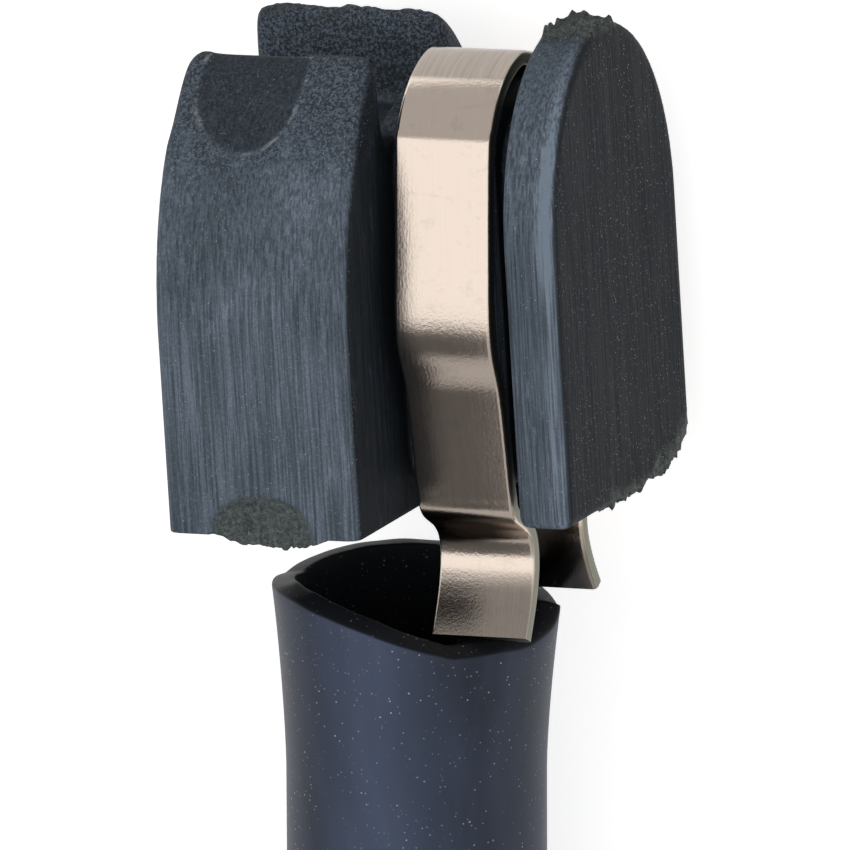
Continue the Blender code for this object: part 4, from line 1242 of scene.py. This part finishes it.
# %% Clip finish
STRIP_COLOUR = (0.80, 0.68, 0.585)
STRIP_DARK_REFLECTION = (0.20, 0.178, 0.155)
STRIP_STAIN = (0.42, 0.38, 0.30)
EDGE_COLOUR = (0.20, 0.20, 0.155)
ROLLED_STRETCH = (1, 0.02, 0.02)
STAIN_STRETCH = (1, 1.4, 1.4)
LINES_PER_MM = 22.0
STAINS_PER_MM = 1.6
PEEL_PER_MM = 11.0
STAIN_EDGES = (0.52, 0.72)
STAIN_TONE = 0.22
ROLLED_TONE = 0.88
DARK_REFLECTION_TONES = (0.45, 1.15)
STRIP_ROUGHNESS = (0.10, 0.24)
EDGE_ROUGHNESS = 0.25
ROLLED_DEPTH = 0.003 * MM
PEEL_DEPTH = 0.005 * MM


def make_clip_finish():
    finish = Finish("clip_strip_finish", metallic=1.0)
    tree = finish.tree
    dark_reflection, edge = finish.attribute("dark_reflection"), finish.attribute("edge")
    lines = noise_node(tree, place_pattern(tree, ROLLED_STRETCH), LINES_PER_MM, detail=5.0, roughness=0.75)
    patches = noise_node(tree, place_pattern(tree, STAIN_STRETCH), STAINS_PER_MM, detail=5.0, roughness=0.7)
    fine = noise_node(tree, place_pattern(tree, (1, 1, 1)), PEEL_PER_MM, detail=2.0, roughness=0.6)
    face = finish.mix(lines, [ROLLED_TONE * value for value in STRIP_COLOUR], STRIP_COLOUR)
    face = finish.mix(product(tree, soft_step(tree, patches, *STAIN_EDGES), STAIN_TONE), face, STRIP_STAIN)
    # painted reflection: the crown and the front foot are painted darker, as if mirroring something dark
    face = finish.mix(product(tree, dark_reflection, spread(finish, lines, *DARK_REFLECTION_TONES)), face, STRIP_DARK_REFLECTION)
    finish.colour(finish.mix(edge, face, EDGE_COLOUR))
    rolled = spread(finish, lines, *STRIP_ROUGHNESS)
    finish.roughness(math_node(tree, "MULTIPLY_ADD", edge, EDGE_ROUGHNESS, rolled))
    finish.bump(lines, ROLLED_DEPTH)
    finish.bump(fine, PEEL_DEPTH)
    return finish.material


CLIP_FINISH = make_clip_finish()
print("clip finish:", len(CLIP_FINISH.node_tree.nodes), "nodes")

# %% Find the strip's middle line
STRIP_THICKNESS = 0.5 * MM
STRIP_EDGE_RADIUS = 0.14 * MM
STRIP_STEP = 0.08 * MM
SIDE_SLACK = 0.001 * MM


def side_outline(node):
    """The outline of a node's high-X side, as points in order round it."""
    made = bmesh.new()
    made.from_mesh(NODES[node].data)
    bmesh.ops.remove_doubles(made, verts=made.verts, dist=MERGE_DISTANCE)
    high = max(vert.co.x for vert in made.verts)
    side = {face for face in made.faces if all(high - vert.co.x < SIDE_SLACK for vert in face.verts)}
    rim = [edge for edge in made.edges if sum(face in side for face in edge.link_faces) == 1]
    after = {}
    for edge in rim:
        for vert in edge.verts:
            after.setdefault(vert, []).append(edge.other_vert(vert))
    first = rim[0].verts[0]
    loop = [first, after[first][0]]
    while len(loop) < len(rim):
        loop.append(next(vert for vert in after[loop[-1]] if vert is not loop[-2]))
    return [vert.co.copy() for vert in loop]


def middle_line(loop):
    """Halfway between the two long faces, which lie one thickness apart at every pair of points."""
    count = len(loop) // 2
    best = None
    for turn in range(len(loop)):
        turned = loop[turn:] + loop[:turn]
        pairs = list(zip(turned[:count], reversed(turned[count:])))
        worst = max(abs((first - second).length - STRIP_THICKNESS) for first, second in pairs)
        if best is None or worst < best[0]:
            best = (worst, [(first + second) / 2 for first, second in pairs])
    return best[1]


# %% [markdown]
# The route is the middle line with two changes: the strip is straight between two heights, and its rear foot
# ends a little early. On the crown and the front foot a dark reflection is painted into the colour, each
# with its own soft border, and a thin band along both sides is the sheared edge.

# %% Make the clip
REAR_CUT = 0.5 * MM
STRAIGHT_HEIGHTS = (8.6 * MM, 11.6 * MM)
CROWN_DARK_REFLECTION = 0.95
CROWN_DARK_REFLECTION_FROM = 8.05 * MM
CROWN_DARK_REFLECTION_FADE = 0.12 * MM
FOOT_DARK_REFLECTION = 0.75
FOOT_DARK_REFLECTION_FROM = -7.4 * MM
FOOT_DARK_REFLECTION_FADE = 0.9 * MM
SHEARED_BAND = 0.06 * MM


def clip_route():
    """The strip's middle line, from the end of the front foot to the end of the rear one."""
    low_end, high_end = [height - HEAD_MIDDLE for height in STRAIGHT_HEIGHTS]
    points = middle_line(side_outline("spring_clip"))
    points = [point for point in points if not low_end < point.y < high_end]
    points = smooth_curve(points, STRIP_STEP)
    if points[0].z < points[-1].z:
        points.reverse()
    return points[: -round(REAR_CUT / STRIP_STEP)]


def make_clip():
    low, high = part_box("spring_clip")
    middle = (low.x + high.x) / 2
    route = [(middle, point.y, point.z) for point in clip_route()]
    line = bpy.data.meshes.new("clip_line")
    line.from_pydata(route, [(index, index + 1) for index in range(len(route) - 1)], [])
    values = {
        "Width": high.x - low.x,
        "Thickness": STRIP_THICKNESS,
        "Edge radius": STRIP_EDGE_RADIUS,
        "Step": STRIP_STEP,
        "Finish": CLIP_FINISH,
    }
    clip = grown_mesh("clip_strip", line, STRIP_GROUP, values)
    clip.data.shade_smooth()
    places = vertex_places(clip.data)
    # where the dark reflection is painted: the crown and the front foot, each with a soft border
    crown = CROWN_DARK_REFLECTION * smooth_range(places[:, 1], CROWN_DARK_REFLECTION_FROM, CROWN_DARK_REFLECTION_FROM + CROWN_DARK_REFLECTION_FADE)
    foot = FOOT_DARK_REFLECTION * (1 - smooth_range(places[:, 1], FOOT_DARK_REFLECTION_FROM - FOOT_DARK_REFLECTION_FADE, FOOT_DARK_REFLECTION_FROM))
    paint(clip.data, "dark_reflection", np.maximum(crown, foot))
    side = values["Width"] / 2
    paint(clip.data, "edge", smooth_range(abs(places[:, 0] - middle), side - SHEARED_BAND, side))
    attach(clip, "root")
    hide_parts("spring_clip")
    return clip


clip = make_clip()
print("clip", len(clip.data.polygons), "faces")

# %% [markdown]
# ## Leads and plug
# The small pieces keep their solids and only get their finishes: fine moulded texture on the plug, soft
# silicone for the seal and the grommet, tinned contacts, and smooth insulation on the two leads.

# %% Small finishes
SHADES_PER_MM = 0.7
TEXTURE_PER_MM = 9.0
SMALL_GLOSS = (-0.06, 0.08)


def make_small_finish(name, dark, pale, roughness, metallic=0.0, texture=0.004):
    finish = Finish(name, metallic)
    vector = place_pattern(finish.tree, (1, 1, 1))
    cloudy = noise_node(finish.tree, vector, SHADES_PER_MM)
    grain = noise_node(finish.tree, vector, TEXTURE_PER_MM, detail=2.0)
    finish.colour(finish.mix(cloudy, dark, pale))
    finish.roughness(spread(finish, grain, *[roughness + change for change in SMALL_GLOSS]))
    finish.bump(grain, texture * MM)
    return finish.material


SMALL_FINISHES = {
    "copper": make_small_finish("copper_finish", (0.68, 0.30, 0.16), (0.8, 0.4, 0.24), 0.3, 1.0),
    "lead_insulation": make_small_finish("lead_finish", (0.02, 0.02, 0.024), (0.04, 0.04, 0.045), 0.45),
    "plug_plastic": make_small_finish(
        "plug_finish", (0.02, 0.02, 0.022), (0.04, 0.04, 0.044), 0.5, texture=0.02
    ),
    "seal_rubber": make_small_finish("seal_finish", (0.44, 0.13, 0.04), (0.56, 0.19, 0.07), 0.5),
    "lock_plastic": make_small_finish("lock_finish", (0.5, 0.5, 0.47), (0.6, 0.6, 0.57), 0.42),
    "tinned_brass": make_small_finish("contact_finish", (0.66, 0.63, 0.55), (0.8, 0.77, 0.68), 0.28, 1.0),
}
NODE_FINISHES = {
    "sensing_wire": "copper",
    "lead_wire_front": "lead_insulation",
    "lead_wire_rear": "lead_insulation",
    "plug_housing": "plug_plastic",
    "plug_terminal_left": "tinned_brass",
    "plug_terminal_right": "tinned_brass",
    "plug_nose_seal": "seal_rubber",
    "cable_grommet": "seal_rubber",
    "plug_lock": "lock_plastic",
}
for node, slot in NODE_FINISHES.items():
    NODES[node].data.materials.clear()
    NODES[node].data.materials.append(SMALL_FINISHES[slot])
print("dressed", len(NODE_FINISHES), "solids in", len(SMALL_FINISHES), "finishes")

# %% [markdown]
# The sides of the plug are ribbed for grip. The ribs repeat, so a Geometry Nodes group sets one short bar on
# each point of a row, and one mesh with two rows dresses both sides at once.

# %% Grip ribs
RIB_COUNT = 7
RIB_SIDES = 24
RIB_RADIUS = 0.45 * MM
RIB_LENGTH = 5.6 * MM
RIB_SINK = 0.22 * MM
RIB_ROW = (6.5 * MM, 13.5 * MM)


def make_rib_group():
    inputs = {"Count": "Int", "Radius": "Float", "Length": "Float", "Finish": "Material"}
    group, start, end = new_geometry_group("grip_ribs", inputs)
    given = start.outputs
    line = group.nodes.new("GeometryNodeMeshToCurve")
    spaced = group.nodes.new("GeometryNodeResampleCurve")
    spaced.mode = "COUNT"
    bar = group.nodes.new("GeometryNodeMeshCylinder")
    bar.inputs["Vertices"].default_value = RIB_SIDES
    placed = group.nodes.new("GeometryNodeInstanceOnPoints")
    real = group.nodes.new("GeometryNodeRealizeInstances")
    dressed = group.nodes.new("GeometryNodeSetMaterial")
    chain(group, given["Geometry"], line.inputs[0], line.outputs[0], spaced.inputs["Curve"])
    chain(group, given["Count"], spaced.inputs["Count"], spaced.outputs[0], placed.inputs["Points"])
    chain(group, given["Radius"], bar.inputs["Radius"], given["Length"], bar.inputs["Depth"])
    chain(group, bar.outputs["Mesh"], placed.inputs["Instance"], placed.outputs[0], real.inputs[0])
    chain(group, real.outputs[0], dressed.inputs["Geometry"], given["Finish"], dressed.inputs["Material"])
    chain(group, dressed.outputs[0], end.inputs["Geometry"])
    return group


def make_ribs():
    low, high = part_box("plug_housing")
    middle = (low.z + high.z) / 2
    ends = []
    for side in (low.x + RIB_SINK, high.x - RIB_SINK):
        ends += [(side, low.y + place, middle) for place in RIB_ROW]
    rows = bpy.data.meshes.new("rib_rows")
    rows.from_pydata(ends, [(0, 1), (2, 3)], [])
    values = {"Count": RIB_COUNT, "Radius": RIB_RADIUS, "Length": RIB_LENGTH}
    values["Finish"] = SMALL_FINISHES["plug_plastic"]
    ribs = grown_mesh("plug_ribs", rows, make_rib_group(), values)
    ribs.data.set_sharp_from_angle(angle=SHARP_ANGLE)
    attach(ribs, "root")
    return ribs


ribs = make_ribs()
print("ribs", len(ribs.data.polygons), "faces")
